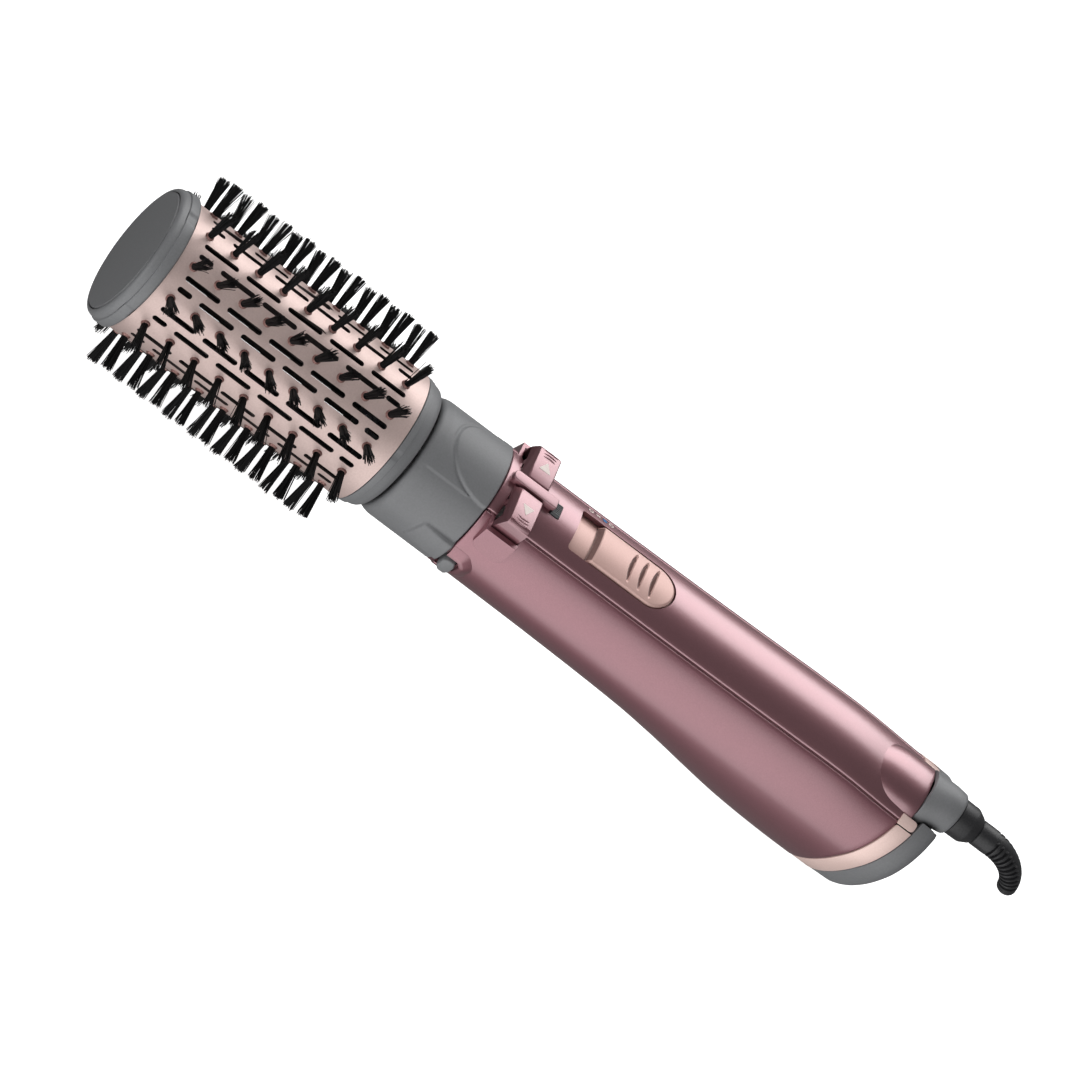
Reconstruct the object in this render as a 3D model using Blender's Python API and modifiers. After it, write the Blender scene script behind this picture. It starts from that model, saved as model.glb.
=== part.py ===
"""Hot air brush with a rotating barrel, an assembly of separate pieces.

The barrel turns about the X axis. The flat face at its tip is at X = 0, the handle and the cord are
towards +X, and the controls are on top, towards +Z. Angles round the axis are measured from the top
and are positive towards +Y. The driving dimensions are in millimetres, and mm() turns them into the
metres that the meshes hold.
"""
import math

import bmesh
import bpy
from mathutils import Matrix, Vector

# ---------------------------------------------------------------- driving dimensions, millimetres
GAP = 0.3                 # between neighbouring pieces

BARREL_R = 24.2           # corners of the sleeve's flats
BARREL_WALL = 0.8
BARREL_X = (7.6, 102.0)
ROW_COUNT = 12
ROW_PITCH = 30.0          # degrees
ROW_PHASE = 6.0           # degrees from the top to the first row of tufts
TUFT_COUNT = 9
TUFT_FIRST_X = 13.2
TUFT_PITCH = 10.07
TUFT_TIP_R = 37.0
TUFT_ROOT_W = 2.0
TUFT_TIP_W = 4.0
STRIP_R = (20.6, 22.6)    # inner and outer side of a strip's bar
STRIP_W = 4.0
STRIP_X = (9.8, 97.6)
SLOT_LONG = 13.9
SLOT_SHORT = 5.6
SLOT_W = 1.6
SLOT_PITCH = 17.1
SLOT_SIDE = 5.0           # degrees from the middle of a bay
SLOT_ZONE_X = (12.9, 95.2)

CAP_R = 25.2
CAP_LENGTH = 7.3
FACE_R = 22.5

REAR_RING_X = (102.3, 109.0)
NECK_X = (110.3, 137.8)
NECK_R = 22.1
TENON_R = (10.2, 11.9)
TENON_END_X = 149.5

HANDLE_X = 138.1
SHELL_WALL = 2.0
PARTING_ANGLE = 37.0      # degrees from the top to the shadow gap
PARTING_GAP = 0.8         # degrees, each side of it
# stations of the handle: X, height above the axis, half width, depth below the axis
HANDLE_STATIONS = (
    (130.0, 22.2, 22.2, 21.9), (180.0, 22.4, 22.3, 22.5), (217.0, 22.8, 22.6, 24.0),
    (235.0, 23.2, 22.8, 26.5), (250.0, 23.6, 23.0, 29.5), (265.0, 24.0, 23.2, 32.0),
    (285.0, 24.2, 23.2, 33.4), (305.0, 22.6, 22.9, 33.4), (330.0, 21.0, 22.0, 32.0))
POD_X = (141.5, 143.5, 154.5, 158.5)      # rise, full height and fall of the pods beside the rocker
POD_HEIGHT = 1.7
POD_ANGLES = (38.0, 66.0)

ROCKER_X = (144.2, 152.6)
ROCKER_HALF_Y = 17.0
ROCKER_TOP_Z = 24.4
ROCKER_AXIS_Z = 18.2
RIB_X = (139.4, 156.3)
RIB_HALF_Y = 1.95
WINDOW_X = (156.6, 159.9)
WINDOW_HALF_Y = 2.5

SLIDER_SLOT_X = (167.5, 206.9)
SLIDER_HALF_W = 8.1
SLIDER_X = (174.9, 206.6)
SLIDER_R = (20.5, 22.9)

BUTTON_X = (138.4, 143.6)
BUTTON_Z = (-7.4, -0.6)
BUTTON_OUT_Y = 24.4
BUTTON_FLANGE_Y = (16.4, 17.4)    # inside the shell, on each side

REAR_PLANE = (304.6, 0.30)        # X at the axis, and X per unit of Z, of the body's rear edge
BAND_PLANE = (311.0, 0.27)
# rings of the intake cover from its front to its rear: X at the axis, slope, scale
COVER_RINGS = ((317.0, 0.20, 0.99), (319.1, 0.185, 0.955), (320.2, 0.175, 0.90), (320.9, 0.17, 0.84))
PASSAGE_R = 8.65                  # of the space round the cord's collar
PASSAGE_TOP_HALF_Y = 10.8         # of the wider space above it
BOSS_Z = 20.6
BOSS_R = 8.3
COLLAR_X = (312.7, 325.0)
SWIVEL_X = (325.3, 334.0)
RELIEF_STRAIGHT_X = 340.3
RELIEF_BEND_R = 16.6
RELIEF_BEND = 80.0                # degrees
RELIEF_R = (4.5, 3.0)
CABLE_R = 2.6

FAN_Z = -9.0
FAN_R = 16.5
FAN_X = (282.0, 290.0)
DUCT_R = (17.2, 18.6)
DUCT_X = (258.0, 292.0)
FAN_MOTOR_X = (262.0, 280.0)
FAN_MOTOR_R = 11.0

HEATER_X = (153.0, 181.0)
HEATER_R = 12.6
SHAFT_R = 1.8
GEARBOX_X = (186.0, 200.0)
GEARBOX_R = 9.0
MOTOR_X = (200.3, 228.0)
MOTOR_R = 8.5
BOARD_X = (184.0, 236.0)
BOARD_Z = (13.2, 14.6)


def mm(value):
    return value * 0.001


# ---------------------------------------------------------------- scene and materials
for old in list(bpy.data.objects):
    bpy.data.objects.remove(old, do_unlink=True)


def new_collection(name):
    collection = bpy.data.collections.new(name)
    bpy.context.scene.collection.children.link(collection)
    return collection


PARTS = new_collection("hot_air_brush")
CUTTERS = new_collection("cutters")


def material(name, colour, roughness, metallic=0.0):
    mat = bpy.data.materials.new(name)
    mat.use_nodes = True
    shader = mat.node_tree.nodes["Principled BSDF"]
    shader.inputs["Base Color"].default_value = (*colour, 1.0)
    shader.inputs["Roughness"].default_value = roughness
    shader.inputs["Metallic"].default_value = metallic
    mat.diffuse_color = (*colour, 1.0)
    return mat


BURGUNDY = material("burgundy_shell", (0.27, 0.10, 0.12), 0.35, 0.6)
GREY = material("grey_plastic", (0.16, 0.165, 0.17), 0.5)
ROSE_METAL = material("rose_aluminium", (0.80, 0.62, 0.57), 0.35, 0.9)
ROSE_TRIM = material("rose_trim", (0.85, 0.60, 0.54), 0.25, 0.8)
BRISTLE = material("black_bristle", (0.01, 0.01, 0.012), 0.6)
BLACK = material("black_rubber", (0.02, 0.02, 0.022), 0.6)
DARK = material("dark_window", (0.05, 0.05, 0.055), 0.2)
STEEL = material("steel", (0.55, 0.55, 0.57), 0.3, 1.0)
WHITE = material("white_plastic", (0.75, 0.75, 0.72), 0.5)
MICA = material("mica", (0.55, 0.45, 0.30), 0.6)
BOARD = material("circuit_board", (0.03, 0.20, 0.08), 0.5)
FILTER = material("filter_mesh", (0.10, 0.10, 0.11), 0.8)


# ---------------------------------------------------------------- modelling helpers
def link(obj, mat):
    """Put a piece in the object's collection, or a cutter, which has no material, in the other."""
    if mat is None:
        CUTTERS.objects.link(obj)
        obj.hide_render = True
        obj.display_type = "WIRE"
    else:
        PARTS.objects.link(obj)
        obj.data.materials.append(mat)
    return obj


def from_bmesh(name, bm, mat):
    mesh = bpy.data.meshes.new(name)
    bm.to_mesh(mesh)
    bm.free()
    return link(bpy.data.objects.new(name, mesh), mat)


def boxes(name, corners, mat):
    """One object of one or more boxes, each given by its low and high corner."""
    bm = bmesh.new()
    for low, high in corners:
        low = Vector(low)
        high = Vector(high)
        made = bmesh.ops.create_cube(bm, size=1.0)["verts"]
        for vert in made:
            vert.co = Vector([mm(low[i] + (vert.co[i] + 0.5) * (high[i] - low[i])) for i in range(3)])
    return from_bmesh(name, bm, mat)


def turned(name, outline, mat, steps=32, y=0.0, z=0.0, turn=0.0):
    """A turned piece about a line along X through (y, z): outline points are (X, radius)."""
    ring = [(mm(radius), mm(x)) for x, radius in outline]
    area = sum(a[0] * b[1] - b[0] * a[1] for a, b in zip(ring, ring[1:] + ring[:1]))
    if area > 0.0:
        ring.reverse()
    bm = bmesh.new()
    verts = [bm.verts.new((radius, 0.0, x)) for radius, x in ring]
    for first, second in zip(verts, verts[1:]):
        bm.edges.new((first, second))
    if ring[0][0] > 0.0 or ring[-1][0] > 0.0:
        bm.edges.new((verts[-1], verts[0]))
    obj = from_bmesh(name, bm, mat)
    screw = obj.modifiers.new("turn", "SCREW")
    screw.axis = "Z"
    screw.steps = steps
    screw.render_steps = steps
    screw.use_merge_vertices = True
    screw.merge_threshold = 0.00001
    place = Matrix.Translation((0.0, mm(y), mm(z)))
    start = Matrix.Rotation(-math.radians(turn), 4, "X")
    obj.matrix_world = place @ start @ Matrix.Rotation(math.pi / 2, 4, "Y")
    return obj


def tube(name, x_range, r_inner, r_outer, mat, steps=24, y=0.0, z=0.0):
    outline = [(x_range[0], r_outer), (x_range[1], r_outer), (x_range[1], r_inner), (x_range[0], r_inner)]
    return turned(name, outline, mat, steps, y, z)


def rod(name, x_range, radius, mat, steps=20, y=0.0, z=0.0, turn=0.0):
    outline = [(x_range[0], 0.0), (x_range[0], radius), (x_range[1], radius), (x_range[1], 0.0)]
    return turned(name, outline, mat, steps, y, z, turn)


ACROSS = Matrix(((0, 0, 1, 0), (1, 0, 0, 0), (0, 1, 0, 0), (0, 0, 0, 1)))      # outline in Y and Z
ALONG = Matrix(((1, 0, 0, 0), (0, 0, -1, 0), (0, 1, 0, 0), (0, 0, 0, 1)))      # outline in X and Z
FLAT = Matrix.Identity(4)                                                      # outline in X and Y


def plate(name, outline, low, high, plane, mat):
    """A flat outline, drawn in one of the three planes, with its two faces at low and high."""
    curve = bpy.data.curves.new(name + "_outline", "CURVE")
    curve.dimensions = "2D"
    curve.fill_mode = "BOTH"
    curve.extrude = mm(high - low) / 2
    spline = curve.splines.new("POLY")
    spline.points.add(len(outline) - 1)
    for point, (a, b) in zip(spline.points, outline):
        point.co = (mm(a), mm(b), 0.0, 1.0)
    spline.use_cyclic_u = True
    guide = bpy.data.objects.new(name + "_outline", curve)
    middle = mm(low + high) / 2
    if plane is ALONG:
        middle = -middle
    guide.matrix_world = plane @ Matrix.Translation((0.0, 0.0, middle))
    return as_mesh(name, guide, mat)


def as_mesh(name, guide, mat):
    """Turn a curve object into a welded mesh object in the same place."""
    bpy.context.scene.collection.objects.link(guide)
    bpy.context.view_layer.update()
    mesh = bpy.data.meshes.new_from_object(guide.evaluated_get(bpy.context.evaluated_depsgraph_get()))
    mesh.name = name
    mesh.materials.clear()
    bm = bmesh.new()
    bm.from_mesh(mesh)
    bmesh.ops.remove_doubles(bm, verts=bm.verts, dist=0.000001)
    bmesh.ops.dissolve_limit(bm, angle_limit=math.radians(0.2), verts=bm.verts, edges=bm.edges)
    bmesh.ops.recalc_face_normals(bm, faces=bm.faces)
    bm.to_mesh(mesh)
    bm.free()
    obj = bpy.data.objects.new(name, mesh)
    obj.matrix_world = guide.matrix_world
    bpy.data.objects.remove(guide, do_unlink=True)
    return link(obj, mat)


def combine(obj, tool, operation):
    modifier = obj.modifiers.new(operation.lower(), "BOOLEAN")
    modifier.operation = operation
    modifier.solver = "EXACT"
    modifier.object = tool


def cut(obj, *tools):
    for tool in tools:
        combine(obj, tool, "DIFFERENCE")


def join(obj, *tools):
    for tool in tools:
        combine(obj, tool, "UNION")


def thicken(obj, wall):
    modifier = obj.modifiers.new("wall", "SOLIDIFY")
    modifier.thickness = mm(wall)
    modifier.offset = -1.0
    modifier.use_even_offset = True


def move_origin(obj, place):
    """Put an object's origin at a point, in millimetres, and leave its surface where it is."""
    old = obj.matrix_world.copy()
    turn = old.to_3x3().to_4x4()
    new = Matrix.Translation([mm(c) for c in place]) @ turn
    obj.data.transform(new.inverted() @ old)
    obj.matrix_world = new


def arc(radius, start, end, count):
    """Points (Y, Z) on an arc about the X axis, by angle from the top."""
    angles = [math.radians(start + (end - start) * i / count) for i in range(count + 1)]
    return [(radius * math.sin(a), radius * math.cos(a)) for a in angles]


def handle_section(x):
    """Height, half width and depth of the handle at a station, on a smooth curve."""
    stations = HANDLE_STATIONS
    index = 0
    while index < len(stations) - 2 and x > stations[index + 1][0]:
        index += 1
    before = stations[max(index - 1, 0)]
    start = stations[index]
    end = stations[index + 1]
    after = stations[min(index + 2, len(stations) - 1)]
    t = (x - start[0]) / (end[0] - start[0])
    values = []
    for k in (1, 2, 3):
        slope_start = (end[k] - before[k]) / (end[0] - before[0]) * (end[0] - start[0])
        slope_end = (after[k] - start[k]) / (after[0] - start[0]) * (end[0] - start[0])
        values.append((2 * t ** 3 - 3 * t ** 2 + 1) * start[k] + (t ** 3 - 2 * t ** 2 + t) * slope_start
                      + (3 * t ** 2 - 2 * t ** 3) * end[k] + (t ** 3 - t ** 2) * slope_end)
    return values


def pod_rise(x, angle):
    """How far the pods that carry the rocker's ends stand out of the handle."""
    side = abs((angle + 180.0) % 360.0 - 180.0)
    if not POD_ANGLES[0] - 3.0 < side < POD_ANGLES[1] + 1.0 or not POD_X[0] < x < POD_X[3]:
        return 0.0
    along = min((x - POD_X[0]) / (POD_X[1] - POD_X[0]), 1.0, (POD_X[3] - x) / (POD_X[3] - POD_X[2]))
    return POD_HEIGHT * along


def handle_point(x, angle, scale=1.0):
    """Point (X, Y, Z) on the handle's outer surface."""
    height, half_width, depth = handle_section(x)
    a = math.radians(angle)
    rise = pod_rise(x, angle)
    vertical = height if math.cos(a) > 0.0 else depth
    return (x, (half_width * scale + rise) * math.sin(a), (vertical * scale + rise) * math.cos(a))


def handle_shell(name, stations, angles, mat):
    """An open strip of the handle's surface that ends on the slanted rear plane, thickened inwards."""
    bm = bmesh.new()
    columns = []
    for angle in angles:
        rear_z = handle_point(REAR_PLANE[0], angle)[2]
        rear_x = REAR_PLANE[0] + REAR_PLANE[1] * rear_z - GAP
        xs = [x for x in stations if x < rear_x - 4.0] + [rear_x]
        spare = len(stations) + 1 - len(xs)
        xs = xs[:-1] + [xs[-2] + (rear_x - xs[-2]) * (i + 1) / (spare + 1) for i in range(spare)] + [rear_x]
        columns.append([bm.verts.new([mm(c) for c in handle_point(x, angle)]) for x in xs])
    for left, right in zip(columns, columns[1:]):
        for i in range(len(left) - 1):
            bm.faces.new((left[i], right[i], right[i + 1], left[i + 1]))
    bmesh.ops.reverse_faces(bm, faces=bm.faces)
    obj = from_bmesh(name, bm, mat)
    thicken(obj, SHELL_WALL)
    return obj


def rear_loft(name, rings, closed, wall, mat, count=32):
    """Rings of the rear section, each on its own slanted plane: (X at the axis, slope, scale)."""
    height, half_width, depth = handle_section(REAR_PLANE[0])
    bm = bmesh.new()
    loops = []
    for x, slope, scale in rings:
        loop = []
        for i in range(count):
            a = 2 * math.pi * i / count
            z = scale * (height if math.cos(a) > 0.0 else depth) * math.cos(a)
            loop.append(bm.verts.new((mm(x + slope * z), mm(scale * half_width * math.sin(a)), mm(z))))
        loops.append(loop)
    for first, second in zip(loops, loops[1:]):
        for i in range(count):
            j = (i + 1) % count
            bm.faces.new((first[i], first[j], second[j], second[i]))
    if closed:
        bm.faces.new(loops[-1])
    bmesh.ops.recalc_face_normals(bm, faces=bm.faces)
    if not closed:
        outward = loops[0][0].link_faces[0]
        if outward.normal.dot(outward.calc_center_median()) < 0.0:
            bmesh.ops.reverse_faces(bm, faces=bm.faces)
    obj = from_bmesh(name, bm, mat)
    thicken(obj, wall)
    return obj


# ---------------------------------------------------------------- rotating head
def row_angle(row):
    return ROW_PHASE + ROW_PITCH * row


def turned_boxes(name, corners, angles, mat):
    """Boxes drawn at the top of the barrel and repeated at each of the angles."""
    bm = bmesh.new()
    for angle in angles:
        rotation = Matrix.Rotation(-math.radians(angle), 4, "X")
        for low, high in corners:
            made = bmesh.ops.create_cube(bm, size=1.0)["verts"]
            for vert in made:
                at = [mm(low[i] + (vert.co[i] + 0.5) * (high[i] - low[i])) for i in range(3)]
                vert.co = rotation @ Vector(at)
    return from_bmesh(name, bm, mat)


def slot_spans(staggered):
    """X spans of the air slots in one row."""
    low, high = SLOT_ZONE_X
    if not staggered:
        return [(low + i * SLOT_PITCH, low + i * SLOT_PITCH + SLOT_LONG) for i in range(5)]
    first = low + SLOT_SHORT + (SLOT_PITCH - SLOT_LONG)
    spans = [(first + i * SLOT_PITCH, first + i * SLOT_PITCH + SLOT_LONG) for i in range(4)]
    return [(low, low + SLOT_SHORT)] + spans + [(high - SLOT_SHORT, high)]


def make_barrel():
    sleeve = turned("barrel_sleeve", [
        (BARREL_X[0], BARREL_R), (BARREL_X[1], BARREL_R),
        (BARREL_X[1], BARREL_R - BARREL_WALL), (BARREL_X[0], BARREL_R - BARREL_WALL)],
        ROSE_METAL, steps=24, turn=ROW_PHASE + 7.5)
    tuft_half = TUFT_ROOT_W / 2 + 0.5
    reach = (BARREL_R - 3.0, BARREL_R + 2.0)
    holes = []
    for i in range(TUFT_COUNT):
        x = TUFT_FIRST_X + i * TUFT_PITCH
        holes.append(((x - tuft_half, -tuft_half, reach[0]), (x + tuft_half, tuft_half, reach[1])))
    rows = [row_angle(row) for row in range(ROW_COUNT)]
    cut(sleeve, turned_boxes("tuft_holes", holes, rows, None))
    for side, staggered in ((-SLOT_SIDE, True), (SLOT_SIDE, False)):
        offset = BARREL_R * math.sin(math.radians(side))
        slots = []
        for low, high in slot_spans(staggered):
            slots.append(((low, offset - SLOT_W / 2, reach[0]), (high, offset + SLOT_W / 2, reach[1])))
        bays = [angle + ROW_PITCH / 2 for angle in rows]
        cut(sleeve, turned_boxes("air_slots_%s" % ("short" if staggered else "long"), slots, bays, None))


def make_bristle_strip(row):
    """A bar inside the sleeve that carries the row's tufts, which flare towards their tips."""
    name = "bristle_strip_%02d" % (row + 1)
    rotation = Matrix.Rotation(-math.radians(row_angle(row)), 4, "X")
    low = (STRIP_X[0], -STRIP_W / 2, STRIP_R[0])
    high = (STRIP_X[1], STRIP_W / 2, STRIP_R[1])
    bar = boxes(name, [(low, high)], BRISTLE)
    bar.matrix_world = rotation
    bm = bmesh.new()
    root_z = STRIP_R[1] - 0.6
    length = TUFT_TIP_R - root_z
    for i in range(TUFT_COUNT):
        place = Matrix.Translation((mm(TUFT_FIRST_X + i * TUFT_PITCH), 0.0, mm(root_z + length / 2)))
        bmesh.ops.create_cone(
            bm, cap_ends=True, segments=4, radius1=mm(TUFT_ROOT_W / math.sqrt(2)),
            radius2=mm(TUFT_TIP_W / math.sqrt(2)), depth=mm(length),
            matrix=place @ Matrix.Rotation(math.pi / 4, 4, "Z"))
    tufts = from_bmesh(name + "_tufts", bm, None)
    tufts.matrix_world = rotation
    join(bar, tufts)


def make_head():
    make_barrel()
    for row in range(ROW_COUNT):
        make_bristle_strip(row)
    turned("tip_disc", [
        (0.0, 0.0), (0.0, FACE_R - 0.8), (0.3, FACE_R - 0.2), (0.8, FACE_R), (1.8, FACE_R), (1.8, 0.0)],
        GREY, steps=48)
    turned("tip_cap", [
        (2.1, 0.0), (2.1, FACE_R + GAP), (0.7, FACE_R + GAP), (0.6, CAP_R - 1.2), (1.6, CAP_R),
        (CAP_LENGTH, CAP_R), (CAP_LENGTH, 22.8), (9.3, 22.8), (9.3, 20.8), (4.6, 20.8), (4.6, 0.0)],
        GREY, steps=36)
    turned("barrel_rear_ring", [
        (REAR_RING_X[0], 21.0), (REAR_RING_X[0], 24.1), (106.6, 24.1), (107.2, 23.6),
        (REAR_RING_X[1], 22.0), (REAR_RING_X[1], 21.0)], GREY, steps=36)

    hub = tube("drive_hub", (96.2, 101.4), 3.2, 6.0, GREY)
    rim = tube("hub_rim", (96.2, 101.4), 18.6, 20.2, None)
    spoke = ((97.0, -1.2, 5.0), (100.4, 1.2, 19.2))
    spokes = turned_boxes("hub_spokes", [spoke], range(0, 360, 60), None)
    join(hub, rim, spokes)
    rod("drive_shaft", (94.0, 145.4), 2.8, STEEL, steps=6)

    neck = turned("neck_collar", [
        (NECK_X[0], 19.4), (NECK_X[0], 20.6), (111.4, 21.5), (113.0, 22.0), (115.0, NECK_R),
        (NECK_X[1], NECK_R), (NECK_X[1], TENON_R[1]), (TENON_END_X, TENON_R[1]),
        (TENON_END_X, TENON_R[0]), (135.8, TENON_R[0]), (135.8, 20.1), (116.0, 20.1),
        (116.0, 6.3), (113.6, 6.3), (113.6, 19.4)], GREY, steps=36)
    vents = [rod("neck_vent_%d" % i, (112.0, 118.0), 4.4, None, steps=8,
                 y=13.0 * math.sin(i * math.pi / 3), z=13.0 * math.cos(i * math.pi / 3)) for i in range(6)]
    cut(neck, *vents)
    tube("neck_bearing", (112.8, 116.8), 3.1, 6.0, STEEL, steps=24)


# ---------------------------------------------------------------- handle
def slot_outline(x_range, half_width, grow):
    """Square at the front and semicircular at the rear, in X and Y."""
    low = x_range[0] - grow
    high = x_range[1] + grow
    half = half_width + grow
    corner = 1.2
    points = [(low, -half + corner), (low + corner, -half)]
    for i in range(9):
        a = -math.pi / 2 + math.pi * i / 8
        points.append((high - half + half * math.cos(a), half * math.sin(a)))
    return points + [(low + corner, half), (low, half - corner)]


def make_shells():
    front = HANDLE_X
    low = (ROCKER_X[0] - 0.6, -ROCKER_HALF_Y - 1.0, 14.2)
    high = (ROCKER_X[1] + 0.6, ROCKER_HALF_Y + 1.0, 30.0)
    rocker_opening = boxes("rocker_opening", [(low, high)], None)

    edge = PARTING_ANGLE - PARTING_GAP
    upper_angles = [-edge + 2 * edge * i / 8 for i in range(9)]
    upper_stations = [front, 180.0, 217.0, 235.0, 250.0, 265.0, 285.0]
    upper = handle_shell("upper_cover", upper_stations, upper_angles, BURGUNDY)
    rib = plate("rocker_rib", [
        (RIB_X[0], 21.4), (143.3, 21.4), (143.3, 23.1), (153.5, 23.1), (153.5, 21.4), (RIB_X[1], 21.4),
        (RIB_X[1], 24.8), (155.6, 25.5), (141.0, 25.5), (RIB_X[0], 24.2)],
        -RIB_HALF_Y, RIB_HALF_Y, ALONG, None)
    boss = turned("cord_boss", [
        (290.0, 0.0), (290.5, 2.4), (292.5, 4.9), (296.0, 7.0), (303.0, BOSS_R), (COLLAR_X[0] - GAP, BOSS_R),
        (COLLAR_X[0] - GAP, 0.0)], None, steps=24, z=BOSS_Z)
    bore = rod("cord_bore", (300.0, 330.0), CABLE_R + 0.6, None, steps=16, z=BOSS_Z)
    low = (WINDOW_X[0] - GAP, -WINDOW_HALF_Y - GAP, 17.0)
    high = (WINDOW_X[1] + GAP, WINDOW_HALF_Y + GAP, 30.0)
    window_hole = boxes("window_hole", [(low, high)], None)
    slot = plate("slider_slot", slot_outline(SLIDER_SLOT_X, SLIDER_HALF_W, GAP), 15.0, 30.0, FLAT, None)
    cut(upper, rocker_opening)
    join(upper, rib, boss)
    cut(upper, window_hole, slot, bore)

    start = PARTING_ANGLE + PARTING_GAP
    belly_steps = 7
    one_side = [start, 45.0, 52.0, 59.0, 66.0, 70.0]
    one_side += [80.0 + (180.0 - 80.0) * i / belly_steps for i in range(belly_steps)]
    lower_angles = one_side + [180.0] + [360.0 - angle for angle in reversed(one_side)]
    lower_stations = [front, POD_X[0], POD_X[1], POD_X[2], POD_X[3], 180.0, 200.0, 217.0, 228.0, 240.0, 250.0,
                      260.0, 272.0, 285.0]
    lower = handle_shell("lower_body", lower_stations, lower_angles, BURGUNDY)
    cut(lower, rocker_opening)
    for side in (-1, 1):
        low_y, high_y = sorted((side * 15.0, side * 30.0))
        notch = boxes("button_notch_%s" % ("left" if side < 0 else "right"), [(
            (HANDLE_X - 1.0, low_y, BUTTON_Z[0] - GAP),
            (BUTTON_X[1] + GAP, high_y, BUTTON_Z[1] + GAP))], None)
        cut(lower, notch)


def make_rocker():
    """Both pads are one bar; it tips about a pin along X under the fixed rib."""
    half = [(2.2, 16.7), (2.2, 21.2), (8.0, 22.3), (8.0, 20.4), (10.0, 20.4), (10.0, 22.35),
            (15.3, 22.5), (15.6, 16.3), (ROCKER_HALF_Y, 16.3), (ROCKER_HALF_Y, 23.5), (16.2, ROCKER_TOP_Z),
            (2.7, ROCKER_TOP_Z), (2.7, 22.6)]
    outline = half + [(-y, z) for y, z in reversed(half)]
    rocker = plate("direction_rocker", outline, ROCKER_X[0], ROCKER_X[1], ACROSS, BURGUNDY)
    cut(rocker, rod("rocker_bore", (140.0, 157.0), 1.3, None, steps=16, z=ROCKER_AXIS_Z))
    move_origin(rocker, (sum(ROCKER_X) / 2, 0.0, ROCKER_AXIS_Z))
    rod("rocker_pin", (141.0, 155.9), 1.0, STEEL, steps=16, z=ROCKER_AXIS_Z)

    carrier = boxes("switch_carrier", [((140.6, -11.0, 14.7), (156.4, 11.0, 16.0))], WHITE)
    lugs = boxes("carrier_lugs", [((141.4, -2.6, 15.5), (143.2, 2.6, 19.8)),
                                  ((153.8, -2.6, 15.5), (155.6, 2.6, 19.8))], None)
    join(carrier, lugs)
    cut(carrier, rod("lug_bore", (140.0, 157.0), 1.3, None, steps=16, z=ROCKER_AXIS_Z))
    for side, label in ((-1, "left"), (1, "right")):
        low_y, high_y = sorted((side * 6.8, side * 10.8))
        boxes("micro_switch_" + label, [((145.6, low_y, 16.3), (151.2, high_y, 19.6))], BLACK)
    low = (WINDOW_X[0], -WINDOW_HALF_Y, 20.2)
    high = (WINDOW_X[1], WINDOW_HALF_Y, 23.3)
    boxes("indicator_window", [(low, high)], DARK)


def make_slider():
    reach = 24.0
    section = arc(SLIDER_R[1], -reach, reach, 8) + arc(SLIDER_R[0], reach, -reach, 8)
    slider = plate("speed_slider", section, SLIDER_X[0] - 4.0, SLIDER_X[1] + 4.0, ACROSS, ROSE_METAL)
    shape = plate("slider_shape", slot_outline(SLIDER_X, SLIDER_HALF_W - GAP, 0.0), 10.0, 30.0, FLAT, None)
    combine(slider, shape, "INTERSECT")
    join(slider, boxes("slider_stem", [((192.0, -1.4, 17.9), (195.4, 1.4, 21.6))], None))
    move_origin(slider, (SLIDER_X[1], 0.0, SLIDER_R[0]))

    floor_reach = 26.0
    floor_section = arc(20.0, -floor_reach, floor_reach, 8) + arc(18.8, floor_reach, -floor_reach, 8)
    floor = plate("slider_floor", floor_section, 165.0, 209.0, ACROSS, ROSE_TRIM)
    cut(floor, boxes("stem_slot", [((184.6, -1.9, 15.0), (196.2, 1.9, 22.0))], None))
    boxes("slide_switch", [((186.0, -4.0, BOARD_Z[1] + GAP), (200.0, 4.0, 17.4))], BLACK)


def make_release_buttons():
    """A six-sided button on each side, on a flange inside the shell."""
    for side, label in ((-1, "left"), (1, "right")):
        middle = sum(BUTTON_Z) / 2
        half = (BUTTON_Z[1] - BUTTON_Z[0]) / 2
        outline = [(BUTTON_X[0], middle - half * 0.6), (BUTTON_X[0] + 1.4, middle - half),
                   (BUTTON_X[1] - 1.0, middle - half), (BUTTON_X[1], middle - half * 0.4),
                   (BUTTON_X[1], middle + half * 0.4), (BUTTON_X[1] - 1.0, middle + half),
                   (BUTTON_X[0] + 1.4, middle + half), (BUTTON_X[0], middle + half * 0.6)]
        root_y = sum(BUTTON_FLANGE_Y) / 2
        low, high = sorted((side * root_y, side * BUTTON_OUT_Y))
        button = plate("release_button_" + label, outline, low, high, ALONG, GREY)
        flange_y = sorted(side * y for y in BUTTON_FLANGE_Y)
        flange = boxes("button_flange_" + label, [(
            (BUTTON_X[0], flange_y[0], BUTTON_Z[0] - 0.9),
            (BUTTON_X[1] + 1.0, flange_y[1], BUTTON_Z[1] + 1.4))], None)
        join(button, flange)
        move_origin(button, (sum(BUTTON_X) / 2, side * root_y, middle))


def make_head_socket():
    """A tube that takes the head's tenon, on a disc with room for the two buttons' flanges."""
    socket = turned("head_socket", [
        (138.3, 12.3), (138.3, 19.6), (139.3, 19.6), (139.3, 13.9), (151.0, 13.9), (151.0, 12.3)],
        GREY, steps=24)
    notch_z = (BUTTON_Z[0] - 1.3, BUTTON_Z[1] + 1.8)
    notches = boxes("socket_notches", [
        ((137.0, -22.0, notch_z[0]), (140.0, -14.2, notch_z[1])),
        ((137.0, 14.2, notch_z[0]), (140.0, 22.0, notch_z[1]))], None)
    cut(socket, notches)


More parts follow.
